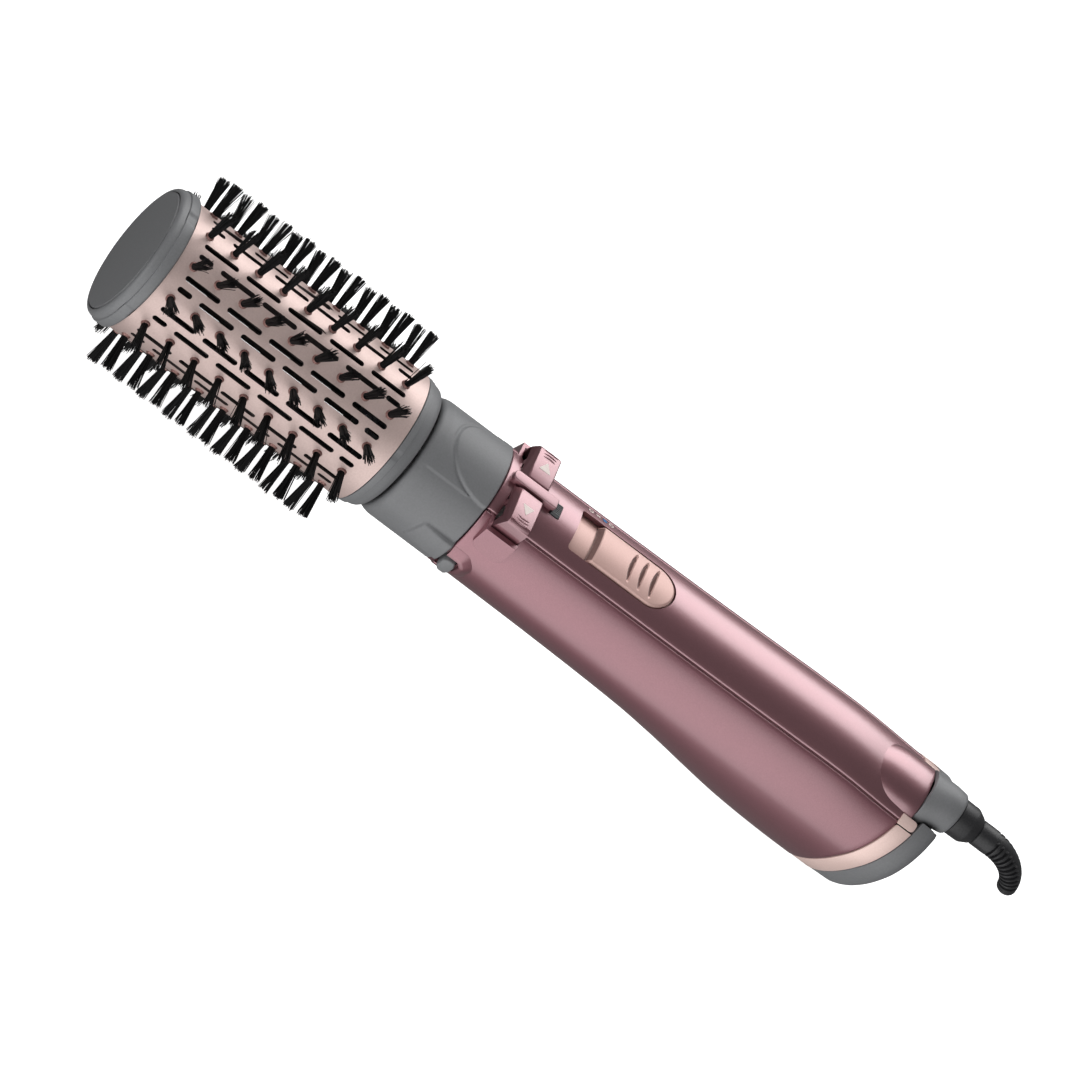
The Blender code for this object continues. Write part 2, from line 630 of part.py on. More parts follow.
# ---------------------------------------------------------------- drive, heater and fan
def make_drive():
    coupling = turned("drive_coupling", [
        (140.0, 0.0), (140.0, 4.6), (149.4, 4.6), (150.8, 3.4), (150.8, 0.0)], WHITE, steps=24)
    cut(coupling, rod("hex_socket", (138.0, 146.0), 3.2, None, steps=6),
        rod("shaft_socket", (147.2, 153.0), SHAFT_R + GAP, None, steps=16))
    rod("output_shaft", (147.6, 191.0), SHAFT_R, STEEL, steps=16)
    gearbox = turned("gearbox", [
        (183.6, 0.0), (183.6, 3.6), (GEARBOX_X[0], 3.6), (GEARBOX_X[0], GEARBOX_R), (GEARBOX_X[1], GEARBOX_R),
        (GEARBOX_X[1], 0.0)], STEEL, steps=24)
    cut(gearbox, rod("gearbox_bore", (180.0, 191.4), SHAFT_R + GAP, None, steps=16))
    turned("rotation_motor", [
        (MOTOR_X[0], 0.0), (MOTOR_X[0], MOTOR_R), (MOTOR_X[1] - 2.0, MOTOR_R), (MOTOR_X[1] - 2.0, 3.0),
        (MOTOR_X[1], 3.0), (MOTOR_X[1], 0.0)], STEEL, steps=24)
    bracket = tube("motor_bracket", (189.0, 196.0), GEARBOX_R + GAP, 11.2, WHITE)
    arms = boxes("bracket_arms", [
        ((190.0, -19.8, -2.0), (195.0, -10.6, 2.0)),
        ((190.0, 10.6, -2.0), (195.0, 19.8, 2.0)),
        ((190.0, -2.0, -20.0), (195.0, 2.0, -10.6))], None)
    join(bracket, arms)


def make_heater():
    tube("mica_tube", HEATER_X, HEATER_R, HEATER_R + 0.6, MICA)
    former = rod("heater_former", (HEATER_X[0] + 1.0, HEATER_X[1] - 1.0), 4.2, MICA)
    fins = [boxes("former_fin_%s" % label, [((HEATER_X[0] + 2.0, -y, -z), (HEATER_X[1] - 2.0, y, z))], None)
            for label, y, z in (("flat", 11.2, 0.5), ("upright", 0.5, 11.2))]
    join(former, *fins)
    cut(former, rod("former_bore", (HEATER_X[0] - 2.0, HEATER_X[1] + 2.0), SHAFT_R + 0.6, None, steps=16))

    turns = 6
    steps_per_turn = 12
    curve = bpy.data.curves.new("heater_coil_path", "CURVE")
    curve.dimensions = "3D"
    curve.bevel_depth = mm(0.35)
    curve.bevel_resolution = 0
    curve.use_fill_caps = True
    spline = curve.splines.new("POLY")
    count = turns * steps_per_turn
    spline.points.add(count)
    for i, point in enumerate(spline.points):
        a = 2 * math.pi * i / steps_per_turn
        x = HEATER_X[0] + 3.0 + (HEATER_X[1] - HEATER_X[0] - 6.0) * i / count
        point.co = (mm(x), mm(11.95 * math.sin(a)), mm(11.95 * math.cos(a)), 1.0)
    as_mesh("heater_coil", bpy.data.objects.new("heater_coil_path", curve), STEEL)
    boxes("thermostat", [((160.0, -4.0, -17.4), (168.0, 4.0, -13.6))], WHITE)


def make_fan():
    duct = tube("fan_duct", DUCT_X, DUCT_R[0], DUCT_R[1], WHITE, steps=28, z=FAN_Z)
    vanes = turned_boxes("duct_vanes", [((264.0, -0.8, FAN_MOTOR_R + GAP), (276.0, 0.8, DUCT_R[0] + 0.7))],
                         (0, 120, 240), None)
    vanes.location.z = mm(FAN_Z)
    join(duct, vanes)
    clip = tube("motor_clip", (266.0, 274.0), FAN_MOTOR_R + GAP, FAN_MOTOR_R + 1.3, None, z=FAN_Z)
    join(duct, clip)
    rod("fan_motor", FAN_MOTOR_X, FAN_MOTOR_R, STEEL, steps=24, z=FAN_Z)
    rod("fan_shaft", (FAN_MOTOR_X[1] + GAP, FAN_X[1] + 0.8), 1.0, STEEL, steps=12, z=FAN_Z)
    impeller = rod("fan_impeller", FAN_X, 5.0, BLACK, steps=24, z=FAN_Z)
    blade_count = 7
    bm = bmesh.new()
    for i in range(blade_count):
        made = bmesh.ops.create_cube(bm, size=1.0)["verts"]
        for vert in made:
            x, y, z = vert.co
            vert.co = (x * mm(9.0), y * mm(1.2), z * mm(FAN_R - 4.0) + mm(FAN_R + 4.0) / 2)
        pitch = Matrix.Rotation(math.radians(35.0), 4, "Z")
        around = Matrix.Rotation(2 * math.pi * i / blade_count, 4, "X")
        bmesh.ops.transform(bm, matrix=around @ pitch, verts=made)
    blades = from_bmesh("fan_blades", bm, None)
    blades.location = (mm(sum(FAN_X) / 2), 0.0, mm(FAN_Z))
    join(impeller, blades)
    cut(impeller, rod("impeller_bore", (278.0, 294.0), 1.0 + GAP, None, steps=12, z=FAN_Z))


def make_electronics():
    boxes("control_board", [((BOARD_X[0], -11.5, BOARD_Z[0]), (BOARD_X[1], 11.5, BOARD_Z[1]))], BOARD)
    boxes("capacitor", [((214.0, -7.0, BOARD_Z[1] + GAP), (226.0, 1.0, 18.6))], ROSE_TRIM)
    for i, x in enumerate((208.0, 232.0)):
        screw = rod("board_screw_%d" % (i + 1), (0.0, 1.6), 2.0, STEEL, steps=16)
        screw.matrix_world = Matrix.Translation((mm(x), mm(7.0), mm(BOARD_Z[1] + GAP)))


# ---------------------------------------------------------------- rear of the handle
def make_rear():
    passage = rod("cord_passage", (290.0, 345.0), PASSAGE_R, None, steps=24, z=BOSS_Z)
    above = boxes("cord_passage_top", [
        ((290.0, -PASSAGE_TOP_HALF_Y, BOSS_Z - 1.5), (345.0, PASSAGE_TOP_HALF_Y, 40.0))], None)
    join(passage, above)

    band_rings = [(*REAR_PLANE, 1.0), (*BAND_PLANE, 1.0)]
    band = rear_loft("intake_band", band_rings, False, SHELL_WALL, ROSE_TRIM)
    cut(band, passage)

    front_ring = (BAND_PLANE[0] + GAP, BAND_PLANE[1], 0.995)
    cover = rear_loft("intake_cover", [front_ring, *COVER_RINGS], True, SHELL_WALL, GREY)
    cut(cover, passage)
    grille = []
    for i in range(9):
        z = -23.0 + 3.6 * i
        half = 0.62 * 22.9 * math.sqrt(max(1.0 - ((z + 8.0) / 24.0) ** 2, 0.1))
        grille.append(((300.0, -half, z - 0.9), (340.0, half, z + 0.9)))
    cut(cover, boxes("grille_slots", grille, None))

    sheet = rear_loft("intake_filter", [(311.0, 0.22, 0.86), (311.4, 0.22, 0.84)], True, 1.0, FILTER)
    cut(sheet, passage)

    turned("cord_collar", [
        (COLLAR_X[0], 5.2), (COLLAR_X[0], 8.3), (COLLAR_X[1] - 1.0, 7.5), (COLLAR_X[1], 6.8),
        (COLLAR_X[1], 5.2)], GREY, steps=24, z=BOSS_Z)
    turned("cord_swivel", [
        (315.0, 3.6), (315.0, 4.9), (SWIVEL_X[0], 4.9), (SWIVEL_X[0], 6.2), (331.0, 6.2), (SWIVEL_X[1], 5.2),
        (SWIVEL_X[1], 3.6)], BLACK, steps=24, z=BOSS_Z)

    curve = bpy.data.curves.new("strain_relief_path", "CURVE")
    curve.dimensions = "3D"
    curve.bevel_depth = mm(1.0)
    curve.bevel_resolution = 3
    curve.use_fill_caps = True
    step_x = SWIVEL_X[1] + GAP
    path = [(320.0, BOSS_Z, 3.2), (step_x - 0.1, BOSS_Z, 3.2), (step_x + 0.1, BOSS_Z, RELIEF_R[0]),
            (RELIEF_STRAIGHT_X, BOSS_Z, RELIEF_R[0])]
    bend_steps = 10
    for i in range(1, bend_steps + 1):
        share = i / bend_steps
        a = math.radians(RELIEF_BEND) * share
        x = RELIEF_STRAIGHT_X + RELIEF_BEND_R * math.sin(a)
        z = BOSS_Z - RELIEF_BEND_R * (1.0 - math.cos(a))
        path.append((x, z, RELIEF_R[0] + (RELIEF_R[1] - RELIEF_R[0]) * share))
    spline = curve.splines.new("POLY")
    spline.points.add(len(path) - 1)
    for point, (x, z, radius) in zip(spline.points, path):
        point.co = (mm(x), 0.0, mm(z), 1.0)
        point.radius = radius
    relief = as_mesh("strain_relief", bpy.data.objects.new("strain_relief_path", curve), BLACK)
    move_origin(relief, (SWIVEL_X[1], 0.0, BOSS_Z))


make_head()
make_shells()
make_rocker()
make_slider()
make_release_buttons()
make_head_socket()
make_drive()
make_heater()
make_fan()
make_electronics()
make_rear()
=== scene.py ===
"""Looks of a hot air brush with a rotating barrel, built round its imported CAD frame.

X runs along the barrel's axis from the tip to the cord, +Z is up through the controls. Lengths are
written in millimetres and mm() turns them into the frame's metres. Angles round the axis are in
degrees from the top and are positive towards +Y.
"""

import math
import random

import bmesh
import bpy
from mathutils import Matrix, Vector


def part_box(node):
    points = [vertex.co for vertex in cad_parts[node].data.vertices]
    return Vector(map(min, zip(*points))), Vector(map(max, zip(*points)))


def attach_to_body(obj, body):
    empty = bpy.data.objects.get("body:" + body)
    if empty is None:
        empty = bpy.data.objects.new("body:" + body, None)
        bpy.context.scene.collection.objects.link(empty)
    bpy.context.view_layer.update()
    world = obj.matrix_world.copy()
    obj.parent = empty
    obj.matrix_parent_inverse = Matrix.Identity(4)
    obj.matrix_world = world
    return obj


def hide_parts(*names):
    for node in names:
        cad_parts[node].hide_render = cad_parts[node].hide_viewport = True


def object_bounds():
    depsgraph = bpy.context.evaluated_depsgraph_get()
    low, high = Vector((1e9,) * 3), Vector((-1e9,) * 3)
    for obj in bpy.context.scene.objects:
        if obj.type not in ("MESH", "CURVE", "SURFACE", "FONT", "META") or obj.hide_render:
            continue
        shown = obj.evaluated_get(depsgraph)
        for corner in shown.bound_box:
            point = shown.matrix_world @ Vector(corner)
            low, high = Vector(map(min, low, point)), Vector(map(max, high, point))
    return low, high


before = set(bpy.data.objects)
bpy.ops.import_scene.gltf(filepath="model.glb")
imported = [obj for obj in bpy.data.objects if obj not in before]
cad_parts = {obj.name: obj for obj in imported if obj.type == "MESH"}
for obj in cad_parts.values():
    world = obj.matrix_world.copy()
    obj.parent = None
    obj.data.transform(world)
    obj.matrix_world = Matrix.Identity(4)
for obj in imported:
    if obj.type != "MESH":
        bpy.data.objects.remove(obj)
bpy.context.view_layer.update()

# ---------------------------------------------------------------- sizes, millimetres and degrees
BARREL_R = 24.2
BARREL_WALL = 0.8
BARREL_X = (7.6, 102.0)
ROW_COUNT = 12
ROW_PITCH = 30.0
ROW_PHASE = 6.0
TUFT_COUNT = 9
TUFT_FIRST_X = 13.2
TUFT_PITCH = 10.07
TUFT_TIP_R = 37.0
TUFT_HOLE_R = 1.25
FIBRES = 58
FIBRE_R = 0.175
TUFT_ROOT_Z = 22.2
TUFT_FLARE = 2.15
STRAY_SHARE = 0.06
SLOT_LONG = 13.9
SLOT_SHORT = 5.6
SLOT_W = 1.85
SLOT_PITCH = 17.1
SLOT_SIDE = 5.0
SLOT_ZONE_X = (12.9, 95.2)

HANDLE_X = 138.1
SHELL_WALL = 2.0
SHELL_STEP_X = 1.5
PARTING_ANGLE = 37.0
PARTING_GAP = 0.6
HANDLE_STATIONS = (
    (130.0, 22.2, 22.2, 21.9), (180.0, 22.4, 22.3, 22.5), (217.0, 22.8, 22.6, 24.0),
    (235.0, 23.2, 22.8, 26.5), (250.0, 23.6, 23.0, 29.5), (265.0, 24.0, 23.2, 32.0),
    (285.0, 24.2, 23.2, 33.4), (305.0, 22.6, 22.9, 33.4), (330.0, 21.0, 22.0, 32.0))
REAR_PLANE = (304.6, 0.30)
BAND_PLANE = (311.0, 0.27)
BOSS_Z = 20.6
BOSS_HALF_Y = 11.6
BOSS_HALF_Z = 8.0
COLLAR_BORE_R = 5.2

ROCKER_X = (142.0, 153.3)
ROCKER_END_Y = 17.6
ROCKER_FLOOR_Z = 13.9
POD_MIDDLE_X = 147.0
POD_HALF_X = 6.45
POD_Z = (7.6, 17.6)
POD_CORNER_Z = 10.6
SLIDER_X = (174.9, 206.6)
SLIDER_HALF_Y = 7.8
GRIP_COUNT = 3
GRIP_FIRST_X = 189.3
GRIP_PITCH = 4.5
GRIP_HALF_Y = 5.9
MARK_ANGLE = 30.5
MARK_LIFT = 0.1

SWIVEL_END_X = 334.3
BEND_START_X = 340.3
BEND_R = 16.6
BEND_ANGLE = 80.0
GUARD_ROOT_R = 4.5
GUARD_TIP_R = 3.3
RIB_COUNT = 11

SIDES = ((-1, "left"), (1, "right"))
CUT_TOP_Z = 40.0
SHARP_ANGLE = 32.0


def mm(value):
    return value * 0.001


# ---------------------------------------------------------------- materials
def nodes_of(name):
    mat = bpy.data.materials.new(name)
    mat.use_nodes = True
    tree = mat.node_tree
    return mat, tree, tree.nodes["Principled BSDF"]


def noise(tree, scale, detail):
    coords = tree.nodes.new("ShaderNodeTexCoord")
    texture = tree.nodes.new("ShaderNodeTexNoise")
    texture.inputs["Scale"].default_value = scale
    texture.inputs["Detail"].default_value = detail
    tree.links.new(coords.outputs["Object"], texture.inputs["Vector"])
    return texture


def ramp(tree, source, stops):
    node = tree.nodes.new("ShaderNodeValToRGB")
    while len(node.color_ramp.elements) < len(stops):
        node.color_ramp.elements.new(0.5)
    for element, (position, colour) in zip(node.color_ramp.elements, stops):
        element.position = position
        element.color = (*colour, 1.0)
    tree.links.new(source, node.inputs["Fac"])
    return node


def bump(tree, shader, source, strength, distance):
    node = tree.nodes.new("ShaderNodeBump")
    node.inputs["Strength"].default_value = strength
    node.inputs["Distance"].default_value = distance
    tree.links.new(source, node.inputs["Height"])
    tree.links.new(node.outputs["Normal"], shader.inputs["Normal"])


def roughness_range(tree, shader, source, low, high):
    node = tree.nodes.new("ShaderNodeMapRange")
    node.inputs["To Min"].default_value = low
    node.inputs["To Max"].default_value = high
    tree.links.new(source, node.inputs["Value"])
    tree.links.new(node.outputs["Result"], shader.inputs["Roughness"])


def surface(name, dark, light, rough, metallic=0.0, grain=900.0, relief=0.0, coat=0.0, coat_rough=0.1):
    """A moulded or coated surface: two close tones in a fine grain, uneven gloss and a slight relief."""
    mat, tree, shader = nodes_of(name)
    texture = noise(tree, grain, 3.0)
    colours = ramp(tree, texture.outputs["Fac"], [(0.30, dark), (0.70, light)])
    tree.links.new(colours.outputs["Color"], shader.inputs["Base Color"])
    broad = noise(tree, 60.0, 3.0)
    roughness_range(tree, shader, broad.outputs["Fac"], rough[0], rough[1])
    shader.inputs["Metallic"].default_value = metallic
    shader.inputs["Coat Weight"].default_value = coat
    shader.inputs["Coat Roughness"].default_value = coat_rough
    if relief:
        bump(tree, shader, texture.outputs["Fac"], relief, 0.0002)
    return mat


def flaked(name, dark, light, rough, coat_ior):
    """Lacquer with fine metal flakes: each flake has its own tone, under a soft clear coat."""
    mat, tree, shader = nodes_of(name)
    coords = tree.nodes.new("ShaderNodeTexCoord")
    flakes = tree.nodes.new("ShaderNodeTexVoronoi")
    flakes.inputs["Scale"].default_value = 7000.0
    tree.links.new(coords.outputs["Object"], flakes.inputs["Vector"])
    tones = ramp(tree, flakes.outputs["Color"], [(0.15, dark), (0.85, light)])
    tree.links.new(tones.outputs["Color"], shader.inputs["Base Color"])
    broad = noise(tree, 900.0, 4.0)
    roughness_range(tree, shader, broad.outputs["Fac"], rough[0], rough[1])
    shader.inputs["Metallic"].default_value = 0.8
    shader.inputs["Coat Weight"].default_value = 1.0
    shader.inputs["Coat Roughness"].default_value = 0.3
    shader.inputs["Coat IOR"].default_value = coat_ior
    bump(tree, shader, broad.outputs["Fac"], 0.05, 0.0001)
    return mat


BURGUNDY = flaked("burgundy_flake", (0.215, 0.060, 0.080), (0.27, 0.090, 0.112), (0.38, 0.46), 2.15)
BURGUNDY_BODY = flaked("burgundy_body", (0.23, 0.072, 0.095), (0.30, 0.108, 0.134), (0.42, 0.50), 1.85)
GREY = surface("grey_satin", (0.175, 0.178, 0.184), (0.195, 0.198, 0.205), (0.42, 0.52), 0.0, 1500.0, 0.05)
GREY_FACE = surface("grey_face", (0.150, 0.152, 0.158), (0.172, 0.174, 0.180), 
                    (0.45, 0.55), 0.0, 1500.0, 0.05)
ROSE_METAL = surface("rose_aluminium", (0.62, 0.475, 0.44), (0.68, 0.53, 0.495), 
                     (0.42, 0.52), 0.45, 1800.0, 0.04)
# Painted shade: the eyelets are the sleeve's own aluminium, coloured darker to stand for the shade at the
# roots of the tufts.
ROSE_EYELET_PAINTED_SHADE = surface("rose_eyelet_painted_shade", (0.20, 0.105, 0.095), (0.34, 0.19, 0.17), 
                      (0.35, 0.50), 0.5, 1800.0, 0.04)
# Painted shade: the sleeve's inner wall and slot walls are pale aluminium, coloured near black to stand for
# the shade inside the barrel.
BARREL_INSIDE_PAINTED_SHADE = surface("barrel_inside_painted_shade", (0.030, 0.022, 0.022), (0.055, 0.042, 0.042), 
                        (0.5, 0.7), 0.2, 700.0, 0.05)
ROSE_TRIM = surface("rose_trim", (0.82, 0.60, 0.545), (0.87, 0.655, 0.60), 
                    (0.38, 0.46), 0.25, 2200.0, 0.03, 0.2, 0.2)
ROSE_SLIDER = surface("rose_slider", (0.67, 0.43, 0.385), (0.72, 0.475, 0.43), 
                      (0.38, 0.46), 0.2, 2200.0, 0.03)
# Painted shade for the slider's deep faces: the same rose trim, coloured darker.
ROSE_GROOVE_PAINTED_SHADE = surface("rose_groove_painted_shade", (0.20, 0.115, 0.105), (0.27, 0.165, 0.15), 
                      (0.45, 0.55), 0.1, 2200.0, 0.03)
BRISTLE = surface("nylon_fibre", (0.002, 0.002, 0.002), (0.008, 0.008, 0.009), (0.55, 0.75), 0.0, 2600.0)
BRISTLE.node_tree.nodes["Principled BSDF"].inputs["Specular IOR Level"].default_value = 0.25
RUBBER = surface("black_rubber", (0.016, 0.016, 0.018), (0.030, 0.030, 0.032), 
                 (0.34, 0.48), 0.0, 1800.0, 0.08)
WINDOW = surface("indicator_grey", (0.07, 0.075, 0.08), (0.12, 0.125, 0.13), (0.25, 0.40), 0.0, 1500.0, 0.10)
STEEL = surface("brushed_steel", (0.42, 0.42, 0.44), (0.62, 0.62, 0.64), (0.25, 0.40), 1.0, 1500.0, 0.06)
WHITE = surface("white_moulding", (0.70, 0.70, 0.67), (0.80, 0.80, 0.77), (0.40, 0.55), 0.0, 900.0, 0.05)
BLACK_PLASTIC = surface("black_moulding", (0.015, 0.015, 0.017), (0.035, 0.035, 0.037), 
                        (0.40, 0.55), 0.0, 900.0, 0.05)
MICA = surface("mica_sheet", (0.30, 0.22, 0.12), (0.62, 0.52, 0.34), (0.30, 0.50), 0.1, 260.0, 0.10)
BOARD = surface("solder_mask", (0.012, 0.10, 0.035), (0.03, 0.18, 0.07), (0.30, 0.42), 0.0, 500.0, 0.06)
FILTER = surface("filter_mesh", (0.02, 0.02, 0.022), (0.10, 0.10, 0.105), (0.6, 0.8), 0.0, 2400.0, 0.30)
PRINT_PALE = surface("pale_print", (0.86, 0.74, 0.69), (0.92, 0.82, 0.77), (0.40, 0.50), 0.0, 1500.0)
PRINT_BLUE = surface("blue_print", (0.03, 0.20, 0.50), (0.05, 0.28, 0.62), (0.35, 0.45), 0.0, 1500.0)


# ---------------------------------------------------------------- mesh helpers
def piece(name, bm, mats, smooth=True, sharp=SHARP_ANGLE):
    """A new object from a bmesh in millimetres."""
    bmesh.ops.scale(bm, vec=(mm(1.0), mm(1.0), mm(1.0)), verts=bm.verts)
    mesh = bpy.data.meshes.new(name)
    bm.to_mesh(mesh)
    bm.free()
    for mat in mats:
        mesh.materials.append(mat)
    if smooth:
        mesh.shade_smooth()
        mesh.set_sharp_from_angle(angle=math.radians(sharp))
    obj = bpy.data.objects.new(name, mesh)
    bpy.context.scene.collection.objects.link(obj)
    return obj


def attach(obj, body, slot, *nodes):
    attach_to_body(obj, body)
    if nodes:
        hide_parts(*nodes)
    return obj


def radial(angle, radius, x=0.0):
    a = math.radians(angle)
    return Vector((x, radius * math.sin(a), radius * math.cos(a)))


def face_outward(bm):
    bmesh.ops.recalc_face_normals(bm, faces=bm.faces)


def bridge(bm, first, second, closed=True):
    """Faces between two rows of vertices; a closed row also joins its end to its start."""
    count = len(first)
    for i in range(count if closed else count - 1):
        j = (i + 1) % count
        bm.faces.new((first[i], second[i], second[j], first[j]))


def bridge_rows(bm, rows, closed=True, looped=False):
    """Bridge each row to the next one, and the last to the first if looped."""
    for first, second in zip(rows, rows[1:] + (rows[:1] if looped else [])):
        bridge(bm, first, second, closed)


def cap_ends(bm, rings):
    bm.faces.new(rings[0][::-1])
    bm.faces.new(rings[-1])


def close_sheet(bm, outer, inner):
    """Join two grids of vertices into a closed sheet with four narrow sides."""
    bridge_rows(bm, outer, closed=False)
    bridge_rows(bm, inner, closed=False)
    bridge(bm, inner[0], outer[0], closed=False)
    bridge(bm, outer[-1], inner[-1], closed=False)
    for i in range(len(outer) - 1):
        bm.faces.new((outer[i][0], outer[i + 1][0], inner[i + 1][0], inner[i][0]))
        bm.faces.new((outer[i + 1][-1], outer[i][-1], inner[i][-1], inner[i + 1][-1]))
    face_outward(bm)


def ellipse_ring(bm, x, half_width, half_height, z, count=96):
    """A ring of vertices across X."""
    turns = [2 * math.pi * k / count for k in range(count)]
    return [bm.verts.new((x, half_width * math.sin(a), z + half_height * math.cos(a))) for a in turns]


def turned(bm, outline, steps=72, z=0.0, closed=True, shape=None):
    """Turn an outline of (X, radius) points about a line along X; shape(x, angle, radius) may move them."""
    rings = []
    for x, radius in outline:
        if radius < 0.001:
            rings.append([bm.verts.new((x, 0.0, z))])
            continue
        ring = []
        for i in range(steps):
            angle = 360.0 * i / steps
            r = shape(x, angle, radius) if shape else radius
            point = radial(angle, r, x)
            point.z += z
            ring.append(bm.verts.new(point))
        rings.append(ring)
    pairs = list(zip(rings, rings[1:]))
    if closed:
        pairs.append((rings[-1], rings[0]))
    for first, second in pairs:
        if len(first) == 1 and len(second) == 1:
            continue
        for i in range(steps):
            j = (i + 1) % steps
            if len(first) == 1:
                bm.faces.new((first[0], second[i], second[j]))
            elif len(second) == 1:
                bm.faces.new((first[i], second[0], first[j]))
            else:
                bm.faces.new((first[i], second[i], second[j], first[j]))
    face_outward(bm)


def rounded(points, radius, steps=4, closed=True):
    """Round the corners of an outline; radius may be a list with one value for each corner."""
    count = len(points)
    result = []
    for i, corner in enumerate(points):
        r = radius[i] if isinstance(radius, (list, tuple)) else radius
        if r <= 0.0 or (not closed and i in (0, count - 1)):
            result.append(tuple(corner))
            continue
        here = Vector(corner)
        before = Vector(points[i - 1]) - here
        after = Vector(points[(i + 1) % count]) - here
        half = before.angle(after) / 2
        reach = min(r / math.tan(half), before.length * 0.49, after.length * 0.49)
        start = here + before.normalized() * reach
        end = here + after.normalized() * reach
        for k in range(steps + 1):
            t = k / steps
            result.append(tuple(start * (1 - t) ** 2 + here * 2 * t * (1 - t) + end * t ** 2))
    return result


def smoothstep(value, low, high):
    t = min(max((value - low) / (high - low), 0.0), 1.0)
    return t * t * (3.0 - 2.0 * t)


def bevelled(bm, width, segments=2, angle=30.0, edges=None):
    """Round the given edges, or all the sharp ones."""
    bm.normal_update()
    chosen = edges or [e for e in bm.edges if len(e.link_faces) == 2
                       and e.calc_face_angle(0.0) > math.radians(angle)]
    bmesh.ops.bevel(bm, geom=chosen, offset=width, offset_type="OFFSET", segments=segments, profile=0.5,
                    affect="EDGES", clamp_overlap=True)


def box(bm, low, high):
    made = bmesh.ops.create_cube(bm, size=1.0)["verts"]
    for vert in made:
        vert.co = Vector([low[i] + (vert.co[i] + 0.5) * (high[i] - low[i]) for i in range(3)])
    return made


def upright(a, b, level):
    """For prism: an outline in plan, extruded along Z."""
    return Vector((a, b, level))


def lengthwise(a, b, level):
    """For prism: an outline across the handle, extruded along X."""
    return Vector((level, a, b))


def prism(bm, outline, low, high, place):
    """Extrude an outline between two levels; place(a, b, level) gives the point."""
    bottom = [bm.verts.new(place(a, b, low)) for a, b in outline]
    top = [bm.verts.new(place(a, b, high)) for a, b in outline]
    bm.faces.new(bottom)
    bm.faces.new(top[::-1])
    bridge(bm, bottom, top)
    face_outward(bm)


def take_modifiers(obj):
    """Turn an object's modifiers into its mesh."""
    bpy.context.view_layer.update()
    evaluated = obj.evaluated_get(bpy.context.evaluated_depsgraph_get())
    mesh = bpy.data.meshes.new_from_object(evaluated)
    obj.modifiers.clear()
    old = obj.data
    obj.data = mesh
    mesh.name = old.name
    bpy.data.meshes.remove(old)


def round_normals(obj):
    """Shade the sheet's outer and inner faces as true cylinders round X, and its cut edges flat."""
    mesh = obj.data
    normals = []
    for face in mesh.polygons:
        centre = Vector((0.0, face.center.y, face.center.z)).normalized()
        facing = face.normal.dot(centre)
        for index in face.vertices:
            vert = mesh.vertices[index].co
            outward = Vector((0.0, vert.y, vert.z)).normalized()
            if facing > 0.9:
                normals.append(outward)
            elif facing < -0.9:
                normals.append(-outward)
            else:
                normals.append(face.normal.copy())
    mesh.normals_split_custom_set(normals)


def boolean(obj, tool, operation="DIFFERENCE"):
    """Apply a boolean at once and remove the tool."""
    modifier = obj.modifiers.new("cut", "BOOLEAN")
    modifier.operation = operation
    modifier.solver = "EXACT"
    modifier.object = tool
    take_modifiers(obj)
    tool_mesh = tool.data
    bpy.data.objects.remove(tool, do_unlink=True)
    bpy.data.meshes.remove(tool_mesh)
    obj.data.shade_smooth()
    obj.data.set_sharp_from_angle(angle=math.radians(SHARP_ANGLE))
    return obj


# ---------------------------------------------------------------- barrel
def row_angle(row):
    return ROW_PHASE + ROW_PITCH * row


def stadium(low, high, half_width, middle, steps=6):
    points = []
    for i in range(steps + 1):
        a = -math.pi / 2 + math.pi * i / steps
        points.append((high - half_width + half_width * math.cos(a), middle + half_width * math.sin(a)))
    for i in range(steps + 1):
        a = math.pi / 2 + math.pi * i / steps
        points.append((low + half_width + half_width * math.cos(a), middle + half_width * math.sin(a)))
    return points


def slot_spans(staggered):
    low, high = SLOT_ZONE_X
    if not staggered:
        return [(low + i * SLOT_PITCH, low + i * SLOT_PITCH + SLOT_LONG) for i in range(5)]
    first = low + SLOT_SHORT + SLOT_PITCH - SLOT_LONG
    spans = [(first + i * SLOT_PITCH, first + i * SLOT_PITCH + SLOT_LONG) for i in range(4)]
    return [(low, low + SLOT_SHORT)] + spans + [(high - SLOT_SHORT, high)]


